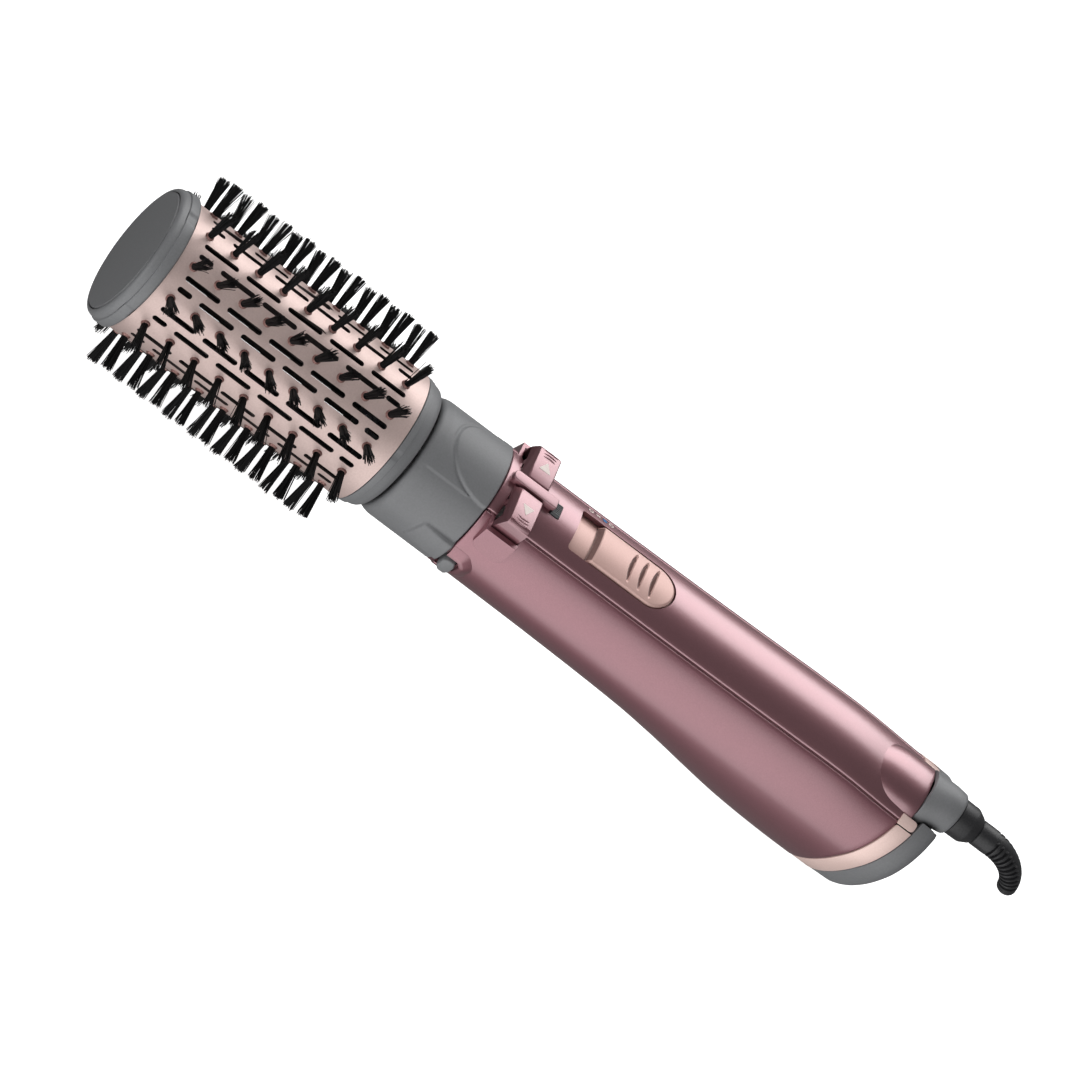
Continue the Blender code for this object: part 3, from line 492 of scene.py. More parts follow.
def flat_bay():
    """One bay of the sleeve's sheet before rolling, in X and arc length, with its slots and holes."""
    per_degree = BARREL_R * math.pi / 180.0
    half_bay = ROW_PITCH / 2 * per_degree
    front, rear = BARREL_X
    outlines = [[(front, -half_bay), (rear, -half_bay), (rear, half_bay), (front, half_bay)]]
    for side, staggered in ((-SLOT_SIDE, True), (SLOT_SIDE, False)):
        middle = (side + (ROW_PITCH / 2 if side < 0 else -ROW_PITCH / 2)) * per_degree
        for low, high in slot_spans(staggered):
            outlines.append(stadium(low, high, SLOT_W / 2, middle))
    for i in range(TUFT_COUNT):
        x = TUFT_FIRST_X + i * TUFT_PITCH
        turns = [2 * math.pi * k / 12 for k in range(12)]
        outlines.append([(x + TUFT_HOLE_R * math.cos(a), TUFT_HOLE_R * math.sin(a)) for a in turns])
    curve = bpy.data.curves.new("bay", "CURVE")
    curve.dimensions = "2D"
    curve.fill_mode = "FRONT"
    for outline in outlines:
        spline = curve.splines.new("POLY")
        spline.points.add(len(outline) - 1)
        for point, (a, b) in zip(spline.points, outline):
            point.co = (a, b, 0.0, 1.0)
        spline.use_cyclic_u = True
    obj = bpy.data.objects.new("bay", curve)
    bpy.context.scene.collection.objects.link(obj)
    bpy.context.view_layer.update()
    mesh = bpy.data.meshes.new_from_object(obj.evaluated_get(bpy.context.evaluated_depsgraph_get()))
    bpy.data.objects.remove(obj, do_unlink=True)
    bpy.data.curves.remove(curve)
    bm = bmesh.new()
    bm.from_mesh(mesh)
    bpy.data.meshes.remove(mesh)
    bmesh.ops.remove_doubles(bm, verts=bm.verts, dist=0.0005)
    cuts = 14
    for i in range(1, cuts):
        level = -half_bay + 2 * half_bay * i / cuts
        bmesh.ops.bisect_plane(bm, geom=bm.verts[:] + bm.edges[:] + bm.faces[:], dist=0.0001,
                               plane_co=(0.0, level, 0.0), plane_no=(0.0, 1.0, 0.0))
    return bm, per_degree


def make_sleeve():
    bay, per_degree = flat_bay()
    bm = bmesh.new()
    for row in range(ROW_COUNT):
        copy = {}
        for vert in bay.verts:
            angle = row_angle(row) + vert.co.y / per_degree
            copy[vert] = bm.verts.new(radial(angle, BARREL_R, vert.co.x))
        for face in bay.faces:
            bm.faces.new([copy[v] for v in face.verts])
    bay.free()
    bmesh.ops.remove_doubles(bm, verts=bm.verts, dist=0.005)
    bm.normal_update()
    bm.faces.ensure_lookup_table()
    centre = bm.faces[0].calc_center_median()
    if bm.faces[0].normal.dot(Vector((0.0, centre.y, centre.z))) < 0.0:
        bmesh.ops.reverse_faces(bm, faces=bm.faces)
    sleeve = piece("barrel_sleeve_fine", bm, [ROSE_METAL, BARREL_INSIDE_PAINTED_SHADE], sharp=40.0)
    solid = sleeve.modifiers.new("wall", "SOLIDIFY")
    solid.thickness = mm(BARREL_WALL)
    solid.offset = -1.0
    # The inner shell and the rims take the second material, a painted shade rather than the aluminium's own
    # colour.
    solid.material_offset = 1
    solid.material_offset_rim = 1
    take_modifiers(sleeve)
    round_normals(sleeve)
    attach(sleeve, "barrel", "rose_aluminium", "barrel_sleeve")

    bm = bmesh.new()
    for row in range(ROW_COUNT):
        for i in range(TUFT_COUNT):
            add_eyelet(bm, row_angle(row), TUFT_FIRST_X + i * TUFT_PITCH)
    # The eyelets carry the painted shade colour, not the sleeve's aluminium.
    attach(piece("tuft_eyelets", bm, [ROSE_EYELET_PAINTED_SHADE]), "barrel", "rose_aluminium")


def add_eyelet(bm, angle, x, steps=14):
    """The drawn lip of the sheet round one tuft."""
    outline = [(1.05, -0.5), (1.05, 0.55), (1.2, 0.72), (1.38, 0.6), (1.45, 0.25), (1.65, 0.02), (1.65, -0.3)]
    turn = Matrix.Rotation(-math.radians(angle), 3, "X")
    rings = []
    for radius, height in outline:
        ring = []
        for k in range(steps):
            a = 2 * math.pi * k / steps
            point = Vector((x + radius * math.cos(a), radius * math.sin(a), BARREL_R + height))
            ring.append(bm.verts.new(turn @ point))
        rings.append(ring)
    for first, second in zip(rings, rings[1:] + rings[:1]):
        for k in range(steps):
            bm.faces.new((first[k], first[(k + 1) % steps], second[(k + 1) % steps], second[k]))


def add_fibre(bm, root, tip, sag, radius):
    """One fibre: four-sided, slightly bent, thinner at its tip."""
    along = (tip - root).normalized()
    side = along.orthogonal().normalized()
    other = along.cross(side)
    levels = 4
    rings = []
    for k in range(levels):
        t = k / (levels - 1)
        middle = root.lerp(tip, t) + sag * math.sin(math.pi * t * 0.9)
        r = radius * (1.0 - 0.35 * t)
        rings.append([bm.verts.new(middle + (side * math.cos(a) + other * math.sin(a)) * r)
                      for a in (0.0, math.pi / 2, math.pi, 3 * math.pi / 2)])
    for first, second in zip(rings, rings[1:]):
        for k in range(4):
            bm.faces.new((first[k], first[(k + 1) % 4], second[(k + 1) % 4], second[k]))
    bm.faces.new(rings[0][::-1])
    bm.faces.new(rings[-1])


def make_bristles():
    rng = random.Random(41)
    for row in range(ROW_COUNT):
        turn = Matrix.Rotation(-math.radians(row_angle(row)), 3, "X")
        bm = bmesh.new()
        for vert in box(bm, (9.8, -2.0, 20.6), (97.6, 2.0, 22.6)):
            vert.co = turn @ vert.co
        for i in range(TUFT_COUNT):
            x = TUFT_FIRST_X + i * TUFT_PITCH
            lean = Vector((rng.gauss(0.0, 0.25), rng.gauss(0.0, 0.35), 0.0))
            for _ in range(FIBRES):
                a = 2 * math.pi * rng.random()
                spread = math.sqrt(rng.random())
                out = Vector((math.cos(a), math.sin(a), 0.0)) * spread
                root = Vector((x, 0.0, TUFT_ROOT_Z)) + out * 0.95
                flare = TUFT_FLARE + rng.gauss(0.0, 0.15)
                if rng.random() < STRAY_SHARE:
                    flare += 0.9 * rng.random()
                tip = Vector((x, 0.0, TUFT_TIP_R - 0.25 + rng.gauss(0.0, 0.28))) + out * flare + lean
                sag = Vector((rng.gauss(0.0, 0.12), rng.gauss(0.0, 0.12), 0.0)) - out * 0.25
                add_fibre(bm, turn @ root, turn @ tip, turn @ sag, FIBRE_R)
        name = "bristle_strip_%02d" % (row + 1)
        attach(piece(name + "_fibres", bm, [BRISTLE], sharp=80.0), "barrel", "bristle", name)


def segment_rise(angle, first_gap, half_gap):
    """1 on the raised clip segments of a ring, 0 in the four gaps between them."""
    offset = abs((angle - first_gap + 45.0) % 90.0 - 45.0)
    return smoothstep(offset, half_gap, half_gap + 2.5)


def make_tip():
    bm = bmesh.new()
    face = [(0.0, 0.0), (0.0, 21.9), (0.1, 22.3), (0.4, 22.5), (0.9, 22.6), (1.8, 22.6), (1.8, 0.0)]
    turned(bm, face, 120, closed=False)
    attach(piece("tip_disc_fine", bm, [GREY_FACE]), "barrel", "grey_plastic", "tip_disc")

    def clips(x, angle, radius):
        if radius < 24.4 or x < 3.3:
            return radius
        return radius - 0.6 * (1.0 - segment_rise(angle, 7.0, 3.5))
    bm = bmesh.new()
    outline = [(2.1, 0.0), (2.1, 22.9), (0.6, 22.9), (0.42, 23.05), (0.4, 23.4), (0.62, 23.9), (1.1, 24.4),
               (1.8, 24.72), (2.6, 24.85), (3.2, 24.85), (3.3, 24.85), (3.55, 25.35), (3.9, 25.45),
               (6.5, 25.45), (6.8, 25.4), (7.1, 25.2), (7.3, 24.9), (7.3, 22.8), (9.3, 22.8), (9.3, 20.8),
               (4.6, 20.8), (4.6, 0.0)]
    turned(bm, outline, 240, closed=False, shape=clips)
    attach(piece("tip_cap_fine", bm, [GREY]), "barrel", "grey_plastic", "tip_cap")


def make_rear_ring():
    def clips(x, angle, radius):
        if radius < 23.8 or x > 104.8:
            return radius
        return radius - 0.3 * (1.0 - segment_rise(angle, -46.0, 2.0))
    bm = bmesh.new()
    outline = [(102.3, 21.0), (102.3, 23.9), (102.5, 24.1), (103.0, 24.15), (104.6, 23.95), (104.75, 23.9),
               (104.9, 23.55), (105.2, 23.5), (106.9, 23.1), (107.9, 22.7), (108.5, 22.2), (108.9, 21.7),
               (109.0, 21.3), (109.0, 21.0)]
    turned(bm, outline, 240, shape=clips)
    attach(piece("barrel_rear_ring_fine", bm, [GREY]), "barrel", "grey_plastic", "barrel_rear_ring")


def neck_shape(x, angle, radius):
    """The half-oval raised panel on top of the neck and the tabs in line with the release buttons."""
    if radius < 21.0 or x < 113.0:
        return radius
    side = (angle + 180.0) % 360.0 - 180.0
    across = abs(side) / 38.0
    along = (137.8 - x) / 20.3
    inside = 1.0 - math.sqrt(across * across + along * along)
    panel = 0.8 * smoothstep(inside, -0.004, 0.035)
    groove = 0.4 * math.exp(-((inside + 0.022) / 0.018) ** 2)
    upper = 0.3 * (1.0 - smoothstep(abs(side), 37.4, 38.4)) * smoothstep(x, 113.2, 113.6)
    slant = 125.6 - 0.075 * (abs(side) - 76.0)
    rise = min(1.7, 0.8 + 0.1 * max(0.0, x - slant))
    sides = smoothstep(abs(side), 76.0, 80.0) * (1.0 - smoothstep(abs(side), 103.0, 109.0))
    tab = rise * smoothstep(x, slant, slant + 0.9) * sides
    return radius + max(panel, upper - groove, tab)


def make_neck():
    bm = bmesh.new()
    outline = [(110.3, 19.4), (110.3, 20.3), (110.6, 20.9), (111.2, 21.4), (112.0, 21.75), (113.2, 21.98)]
    outline += [(114.0 + 0.4 * i, 22.1) for i in range(59)]
    outline += [(137.5, 22.05), (137.7, 21.8), (137.8, 21.5), (137.8, 11.9), (149.5, 11.9), (149.5, 10.2),
                (135.8, 10.2), (135.8, 20.1), (116.0, 20.1), (116.0, 6.3), (113.6, 6.3), (113.6, 19.4)]
    turned(bm, outline, 288, shape=neck_shape)
    attach(piece("neck_collar_fine", bm, [GREY], sharp=50.0), "head_neck", "grey_plastic", "neck_collar")


# ---------------------------------------------------------------- handle
def handle_section(x):
    stations = HANDLE_STATIONS
    index = 0
    while index < len(stations) - 2 and x > stations[index + 1][0]:
        index += 1
    before = stations[max(index - 1, 0)]
    start = stations[index]
    end = stations[index + 1]
    after = stations[min(index + 2, len(stations) - 1)]
    t = (x - start[0]) / (end[0] - start[0])
    values = []
    for k in (1, 2, 3):
        slope_start = (end[k] - before[k]) / (end[0] - before[0]) * (end[0] - start[0])
        slope_end = (after[k] - start[k]) / (after[0] - start[0]) * (end[0] - start[0])
        values.append((2 * t ** 3 - 3 * t ** 2 + 1) * start[k] + (t ** 3 - 2 * t ** 2 + t) * slope_start
                      + (3 * t ** 2 - 2 * t ** 3) * end[k] + (t ** 3 - t ** 2) * slope_end)
    return values


def handle_point(x, angle, depth=0.0, scale=1.0):
    """Point on the handle's surface, or depth below it."""
    height, half_width, low = handle_section(x)
    a = math.radians(angle)
    vertical = height if math.cos(a) > 0.0 else low
    normal = Vector((0.0, math.sin(a) / half_width, math.cos(a) / vertical)).normalized()
    point = Vector((x, half_width * scale * math.sin(a), vertical * scale * math.cos(a)))
    return point - normal * depth


def edge_round(radius, steps=4):
    """(distance from the edge, depth below the surface) along a quarter round."""
    turns = [math.pi / 2 * k / steps for k in range(steps + 1)]
    return [(radius * (1 - math.cos(a)), radius * (1 - math.sin(a))) for a in turns]


def handle_shell(name, start_angle, end_angle, angle_steps, mat, edge):
    """A closed strip of the handle's shell with rounded edges, which ends on the slanted rear plane."""
    degrees = 180.0 / (math.pi * 22.4)
    corner = edge_round(edge)
    columns = [(start_angle + s * degrees, d) for s, d in corner]
    low = start_angle + edge * degrees
    high = end_angle - edge * degrees
    columns += [(low + (high - low) * i / angle_steps, 0.0) for i in range(1, angle_steps)]
    columns += [(end_angle - s * degrees, d) for s, d in reversed(corner)]
    bm = bmesh.new()
    outer = []
    inner = []
    for angle, depth in columns:
        rear_x = REAR_PLANE[0] + REAR_PLANE[1] * handle_point(REAR_PLANE[0], angle).z - 0.3
        count = int((REAR_PLANE[0] - HANDLE_X) / SHELL_STEP_X)
        span = rear_x - HANDLE_X - 2 * edge
        xs = [(HANDLE_X + s, d) for s, d in corner]
        xs += [(HANDLE_X + edge + span * i / count, 0.0) for i in range(1, count)]
        xs += [(rear_x - s, d) for s, d in reversed(corner)]
        outer.append([bm.verts.new(handle_point(x, angle, max(depth, d))) for x, d in xs])
        inner.append([bm.verts.new(handle_point(x, angle, SHELL_WALL)) for x, d in xs])
    close_sheet(bm, outer, inner)
    return piece(name, bm, [mat], sharp=50.0)


def tool_box(low, high):
    bm = bmesh.new()
    box(bm, low, high)
    return piece("tool", bm, [], smooth=False)


def cut_rocker_bay(obj, half_width, floor_z):
    boolean(obj, tool_box((ROCKER_X[0], -half_width, floor_z), (ROCKER_X[1], half_width, CUT_TOP_Z)))


def slot_outline(x_range, half_width, corner=1.0, steps=14):
    """A window in plan: small corners at its front and a half round at its rear."""
    low, high = x_range
    near = corner * 0.3
    points = [(low, -half_width + corner), (low + near, -half_width + near), (low + corner, -half_width)]
    for i in range(steps + 1):
        a = -math.pi / 2 + math.pi * i / steps
        points.append((high - half_width + half_width * math.cos(a), half_width * math.sin(a)))
    return points + [(low + corner, half_width), (low + near, half_width - near), (low, half_width - corner)]


def make_upper_cover():
    edge = PARTING_ANGLE - PARTING_GAP
    cover = handle_shell("upper_cover_fine", -edge, edge, 36, BURGUNDY, edge=0.8)
    cut_rocker_bay(cover, 25.0, 10.0)
    boolean(cover, tool_box((156.3, -2.8, 10.0), (160.2, 2.8, CUT_TOP_Z)))
    bm = bmesh.new()
    prism(bm, slot_outline((167.2, 207.2), 8.4), 10.0, CUT_TOP_Z, upright)
    boolean(cover, piece("tool", bm, [], smooth=False))
    attach(cover, "handle", "burgundy", "upper_cover")
    make_cord_boss()
    make_rocker_rib()


def make_cord_boss():
    """The half-round fairing that rises from the upper cover and ends at the cord's collar."""
    bm = bmesh.new()
    turns = [math.pi / 2 * k / 24 for k in range(2, 25)]
    sections = [(304.0 - 17.4 * math.cos(a), math.sin(a)) for a in turns]
    sections += [(308.0, 1.0), (312.1, 1.0), (312.4, 0.99), (312.5, 0.97)]
    rings = [ellipse_ring(bm, x, BOSS_HALF_Y * share, BOSS_HALF_Z * share, 17.1) for x, share in sections]
    bridge_rows(bm, rings)
    cap_ends(bm, rings)
    face_outward(bm)
    attach(piece("cord_boss", bm, [BURGUNDY], sharp=50.0), "handle", "burgundy")


def make_rocker_rib():
    """The fixed rib that passes over the rocker, on a foot at each end."""
    bm = bmesh.new()
    plan = [(139.4, -1.95), (157.0, -1.95), (157.0, 1.95), (139.4, 1.95)]
    prism(bm, rounded(plan, [1.9, 0.5, 0.5, 1.9], 6), 23.1, 25.1, upright)
    top = [e for e in bm.edges if all(v.co.z > 25.0 for v in e.verts)]
    bevelled(bm, 0.9, 4, edges=top)
    for low, high in ((139.6, 141.9), (153.5, 156.2)):
        box(bm, (low, -1.7, 21.0), (high, 1.7, 23.2))
    attach(piece("rocker_rib", bm, [BURGUNDY], sharp=40.0), "handle", "burgundy")


def make_lower_body():
    start = PARTING_ANGLE + PARTING_GAP
    body = handle_shell("lower_body_fine", start, 360.0 - start, 120, BURGUNDY_BODY, edge=0.6)
    cut_rocker_bay(body, ROCKER_END_Y, ROCKER_FLOOR_Z)
    low, high = [corner * 1000.0 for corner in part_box("release_button_left")]
    low_z, high_z = low.z + 0.6, high.z - 1.1
    boolean(body, tool_box((137.0, -30.0, low_z), (high.x - 0.7, -15.0, high_z)))
    boolean(body, tool_box((137.0, 15.0, low_z), (high.x - 0.7, 30.0, high_z)))
    attach(body, "handle", "burgundy", "lower_body")
    make_parting_tongue()
    for side, label in SIDES:
        attach(make_pod(side, label), "handle", "burgundy")
        attach(make_button_rim(side, label), "handle", "burgundy")


def make_parting_tongue():
    """The strip at the bottom of the gap between the upper cover and the lower body."""
    bm = bmesh.new()
    stations = [139.0 + 2.0 * i for i in range(86)]
    for side in (-1, 1):
        rows = []
        for depth, offset in ((1.0, 0.9), (1.0, -0.9), (1.9, -0.9), (1.9, 0.9)):
            angle = side * (PARTING_ANGLE + offset)
            rows.append([bm.verts.new(handle_point(x, angle, depth)) for x in stations])
        bridge_rows(bm, rows, closed=False, looped=True)
        cap_ends(bm, list(zip(*rows)))
    face_outward(bm)
    tongue = piece("parting_tongue", bm, [BURGUNDY_BODY])
    cut_rocker_bay(tongue, 25.0, 10.0)
    attach(tongue, "handle", "burgundy")


def pod_edge(x, z):
    """Distance inside the pod's outline, in the side view: a shield with a rounded lower end."""
    half = POD_HALF_X
    if z < POD_CORNER_Z:
        half *= math.sqrt(max(0.0, 1.0 - ((POD_CORNER_Z - z) / (POD_CORNER_Z - POD_Z[0])) ** 2))
    return min(half - abs(x - POD_MIDDLE_X), POD_Z[1] - z, z - POD_Z[0])


def make_pod(side, label):
    """The raised flat shield that the rocker's end sinks into, as a height field over the shell."""
    bm = bmesh.new()
    grid = []
    back = []
    columns, rows = 96, 72
    for i in range(columns + 1):
        x = 140.0 + 14.0 * i / columns
        height, half_width, _ = handle_section(x)
        column = []
        hidden = []
        for j in range(rows + 1):
            z = 7.0 + 11.2 * j / rows
            y = half_width * math.sqrt(1.0 - (z / height) ** 2)
            face = 19.3 + 0.2 * (POD_Z[1] - z)
            rise = (face - (y - 0.5)) * smoothstep(pod_edge(x, z), -0.06, 0.5)
            column.append(bm.verts.new((x, side * (y - 0.5 + rise), z)))
            hidden.append(bm.verts.new((x, side * (y - 1.4), z)))
        grid.append(column)
        back.append(hidden)
    close_sheet(bm, grid, back)
    pod = piece("rocker_pod_" + label, bm, [BURGUNDY_BODY], sharp=50.0)
    cut_rocker_bay(pod, ROCKER_END_Y, ROCKER_FLOOR_Z)
    return pod


def make_button_rim(side, label):
    """The raised bead round the notch of a release button, open towards the neck."""
    low, high = [corner * 1000.0 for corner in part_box("release_button_" + label)]
    low_z, high_z = low.z - 0.5, high.z
    inner_x, outer_x = high.x - 1.3, high.x + 0.8
    route = [(138.5, high_z), (inner_x, high_z), (outer_x, high_z - 2.1), (outer_x, low_z + 2.1),
             (inner_x, low_z), (138.5, low_z)]
    route = rounded(route, [0, 1.6, 1.6, 1.6, 1.6, 0], 5, closed=False)
    section = ((3.5, -0.6), (3.4, 0.05), (1.0, 1.3), (0.5, 1.45), (-0.6, 1.45), (-0.9, 1.2), (-0.9, -1.4),
               (2.0, -1.6))
    bm = bmesh.new()
    rings = []
    for k, (x, z) in enumerate(route):
        before = Vector(route[max(k - 1, 0)])
        after = Vector(route[min(k + 1, len(route) - 1)])
        along = (after - before).normalized()
        height, half_width, depth = handle_section(x)
        ring = []
        for across, level in section:
            rim_x = x - along.y * across
            rim_z = z + along.x * across
            vertical = height if rim_z > 0.0 else depth
            y = half_width * math.sqrt(1.0 - (rim_z / vertical) ** 2)
            ring.append(bm.verts.new((rim_x, side * (y + level), rim_z)))
        rings.append(ring)
    bridge_rows(bm, rings)
    cap_ends(bm, rings)
    face_outward(bm)
    return piece("button_rim_" + label, bm, [BURGUNDY_BODY], sharp=35.0)


def make_rocker():
    bm = bmesh.new()
    half = [(2.2, 16.7), (2.2, 21.2), (8.0, 22.3), (8.0, 20.4), (10.0, 20.4), (10.0, 22.35), (15.3, 22.5),
            (15.6, 16.3), (17.0, 16.3), (17.0, 23.3), (15.8, 24.5), (9.0, 24.75), (2.7, 24.4), (2.7, 22.6)]
    outline = half + [(-y, z) for y, z in reversed(half)]
    prism(bm, outline, 144.2, 152.6, lengthwise)
    for vert in bm.verts:
        if vert.co.x < 145.0 and vert.co.z < 23.0:
            vert.co.x -= 2.2
    upper = [e for e in bm.edges
             if all(v.co.z > 22.9 for v in e.verts) and e.calc_face_angle(0.0) > math.radians(40.0)]
    bevelled(bm, 0.5, 3, edges=upper)
    rocker = piece("direction_rocker_fine", bm, [BURGUNDY], sharp=40.0)
    attach(rocker, "rocker", "burgundy", "direction_rocker")

    ridges = bmesh.new()
    arrows = bmesh.new()
    for side, _ in SIDES:
        for k in range(3):
            add_ridge(ridges, 146.0 - 0.3 * k, 150.8 + 0.3 * k, side * (13.0 + 1.15 * k), 24.62 - 0.07 * k)
        arrow = [(148.4, side * 11.6), (146.1, side * 7.9), (150.7, side * 7.9)]
        prism(arrows, rounded(arrow, 0.25, 2), 24.60, 24.80, upright)
    attach(piece("rocker_ridges", ridges, [BURGUNDY]), "rocker", "burgundy")
    attach(piece("rocker_arrows", arrows, [PRINT_PALE], smooth=False), "rocker", "burgundy")


def add_ridge(bm, low, high, y, z):
    """A low crescent ridge along X on the outer end of a pad."""
    steps = 10
    rings = []
    for i in range(steps + 1):
        t = i / steps
        size = math.sin(math.pi * t) ** 0.5
        bow = 0.35 * math.sin(math.pi * t) * (1 if y > 0 else -1)
        ring = []
        for k in range(8):
            a = 2 * math.pi * k / 8
            across = y + bow + 0.28 * size * math.cos(a) + 0.0001 * k
            ring.append(bm.verts.new((low + (high - low) * t, across, z + 0.26 * size * math.sin(a))))
        rings.append(ring)
    bridge_rows(bm, rings)
    bm.faces.new(rings[0])
    bm.faces.new(rings[-1][::-1])


def make_window():
    bm = bmesh.new()
    box(bm, (156.7, -2.5, 20.2), (159.9, 2.5, 22.9))
    bevelled(bm, 0.25)
    for k in range(7):
        y = -1.9 + 3.8 * k / 6
        box(bm, (156.9, y - 0.12, 22.7), (159.7, y + 0.12, 23.15))
    window = piece("indicator_window_fine", bm, [WINDOW], smooth=False)
    attach(window, "handle", "window", "indicator_window")


def slider_top(y):
    """Height of the slider's crown, which follows the handle."""
    return math.sqrt(22.9 ** 2 - y ** 2)


def grip_depth(x, y):
    """Depth of the three lens-shaped finger grips: steep in front, running out to the rear."""
    lens = 1.0 - (y / GRIP_HALF_Y) ** 2
    if lens <= 0.0:
        return 0.0
    depth = 0.0
    for k in range(GRIP_COUNT):
        centre = GRIP_FIRST_X + GRIP_PITCH * k + 0.012 * y * y
        off = x - centre + 0.9 * lens
        run_out = 1.0 - smoothstep(off, 0.6, 0.7 + 1.2 * lens)
        depth += 1.5 * lens ** 0.7 * smoothstep(off, -0.1, 0.25) * run_out
    return depth


def make_slider():
    """The slider's crowned cap is a height field, with its front groove and its grips; the deeper faces of
    both carry a painted shade.
    """
    bm = bmesh.new()
    low, high = SLIDER_X
    half = SLIDER_HALF_Y
    columns, rows = 160, 48
    grid = []
    for i in range(columns + 1):
        x = low + (high - low) * i / columns
        into_round = max(x - high + half, 0.0)
        reach = math.sqrt(max(half ** 2 - into_round ** 2, 0.02))
        row = []
        for j in range(rows + 1):
            y = reach * math.sin(math.pi / 2 * (2 * j / rows - 1))
            edge = min(half - math.hypot(y, into_round), x - low)
            z = slider_top(y) - 0.55 * (1.0 - smoothstep(edge, -0.05, 0.75)) - grip_depth(x, y)
            z -= 2.1 * (1.0 - smoothstep(x - low, 0.0, 1.9))
            row.append(bm.verts.new((x, y, z)))
        grid.append(row)
    bridge_rows(bm, grid, closed=False)
    boundary = (grid[0] + [row[-1] for row in grid[1:]] + grid[-1][-2::-1]
                + [row[0] for row in grid[-2:0:-1]])
    lower = [bm.verts.new((v.co.x, v.co.y, math.sqrt(20.6 ** 2 - v.co.y ** 2))) for v in boundary]
    bridge(bm, boundary, lower)
    bm.faces.new(lower)
    face_outward(bm)
    # Faces more than 0.5 mm below the crown, in the grips and down the front edge, take the painted shade.
    for face in bm.faces:
        centre = face.calc_center_median()
        shade_depth = slider_top(min(abs(centre.y), half)) - centre.z
        if abs(centre.y) < 6.9 and centre.x < high - 6.0 and shade_depth > 0.5:
            face.material_index = 1
    box(bm, (192.0, -1.4, 17.9), (195.4, 1.4, 20.8))
    slider = piece("speed_slider_fine", bm, [ROSE_SLIDER, ROSE_GROOVE_PAINTED_SHADE], sharp=40.0)
    attach(slider, "slider", "rose_trim", "speed_slider")
    make_slider_floor()


def make_slider_floor():
    """The curved strip that the slider runs on, with the slot for the switch's lever."""
    bm = bmesh.new()
    rows = []
    for radius, x in ((20.0, 165.0), (20.0, 209.0), (18.8, 209.0), (18.8, 165.0)):
        rows.append([bm.verts.new(radial(-26.0 + 52.0 * j / 24, radius, x)) for j in range(25)])
    bridge_rows(bm, rows, closed=False, looped=True)
    cap_ends(bm, list(zip(*rows)))
    face_outward(bm)
    floor = piece("slider_floor_fine", bm, [ROSE_SLIDER])
    boolean(floor, tool_box((184.6, -1.9, 15.0), (196.2, 1.9, 22.0)))
    attach(floor, "handle", "rose_trim", "slider_floor")


def make_symbols():
    """Generic setting marks beside the slider: two rings, a pair of bars and a star."""
    def on_shell(x, offset, lift):
        point = handle_point(x, MARK_ANGLE + math.degrees(offset / 22.4))
        return point + radial(MARK_ANGLE, lift)
    bm = bmesh.new()
    for x in (170.4, 178.6):
        add_ring(bm, x, 1.0, 0.6, on_shell)
    for offset in (0.3, -0.3):
        add_bar(bm, 173.3, offset, 1.6, 0.35, 0.0, on_shell)
    attach(piece("setting_marks", bm, [PRINT_PALE], smooth=False), "handle", "rose_trim")
    bm = bmesh.new()
    for k in range(3):
        add_bar(bm, 176.0, 0.0, 2.0, 0.36, math.pi * k / 3, on_shell)
    attach(piece("cool_mark", bm, [PRINT_BLUE], smooth=False), "handle", "window")


def add_ring(bm, x, outer, inner, place, steps=20):
    turns = [2 * math.pi * k / steps for k in range(steps)]
    rings = []
    for radius, lift in ((outer, MARK_LIFT), (inner, MARK_LIFT), (inner, -MARK_LIFT), (outer, -MARK_LIFT)):
        points = [(x + radius * math.cos(a), radius * math.sin(a)) for a in turns]
        rings.append([bm.verts.new(place(a, b, lift)) for a, b in points])
    bridge_rows(bm, rings, looped=True)
    face_outward(bm)


def add_bar(bm, x, offset, length, width, turn, place):
    corners = []
    for a, b in ((-1, -1), (1, -1), (1, 1), (-1, 1)):
        u = a * length / 2
        v = b * width / 2
        corners.append((x + u * math.cos(turn) - v * math.sin(turn),
                        offset + u * math.sin(turn) + v * math.cos(turn)))
    prism(bm, corners, -MARK_LIFT, MARK_LIFT, place)


def make_release_buttons():
    for side, label in SIDES:
        node = "release_button_" + label
        low, high = [corner * 1000.0 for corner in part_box(node)]
        front, rear = low.x + 0.4, high.x - 1.0
        middle = (low.z + high.z - 0.5) / 2
        half = (high.z - low.z - 2.3) / 2
        outline = [(front, middle - half * 0.6), (front + 1.4, middle - half), (rear - 1.0, middle - half),
                   (rear, middle - half * 0.4), (rear, middle + half * 0.4), (rear - 1.0, middle + half),
                   (front + 1.4, middle + half), (front, middle + half * 0.6)]
        bm = bmesh.new()
        prism(bm, outline, side * 16.4, side * 24.4, lambda a, b, level: Vector((a, level, b)))
        bevelled(bm, 0.5, 3, 25.0)
        attach(piece(node + "_fine", bm, [GREY]), "button_" + label, "grey_plastic", node)


# ---------------------------------------------------------------- rear
def rear_ring(bm, x, slope, scale, inset=0.0, count=144):
    """The handle's section on a plane that leans back by slope, scaled and then drawn in by inset."""
    height, half_width, depth = handle_section(REAR_PLANE[0])
    ring = []
    for i in range(count):
        a = 2 * math.pi * i / count
        vertical = height if math.cos(a) > 0.0 else depth
        z = (scale * vertical - inset) * math.cos(a)
        ring.append(bm.verts.new((x + slope * z, (scale * half_width - inset) * math.sin(a), z)))
    return ring


def passage(radius, half_width, bottom):
    """The space for the cord's collar and what lies above it."""
    bm = bmesh.new()
    outline = [(290.0, 0.0), (290.0, radius), (350.0, radius), (350.0, 0.0)]
    turned(bm, outline, 72, z=BOSS_Z, closed=False)
    tool = piece("tool", bm, [], smooth=False)
    return boolean(tool, tool_box((290.0, -half_width, bottom), (350.0, half_width, 60.0)), "UNION")


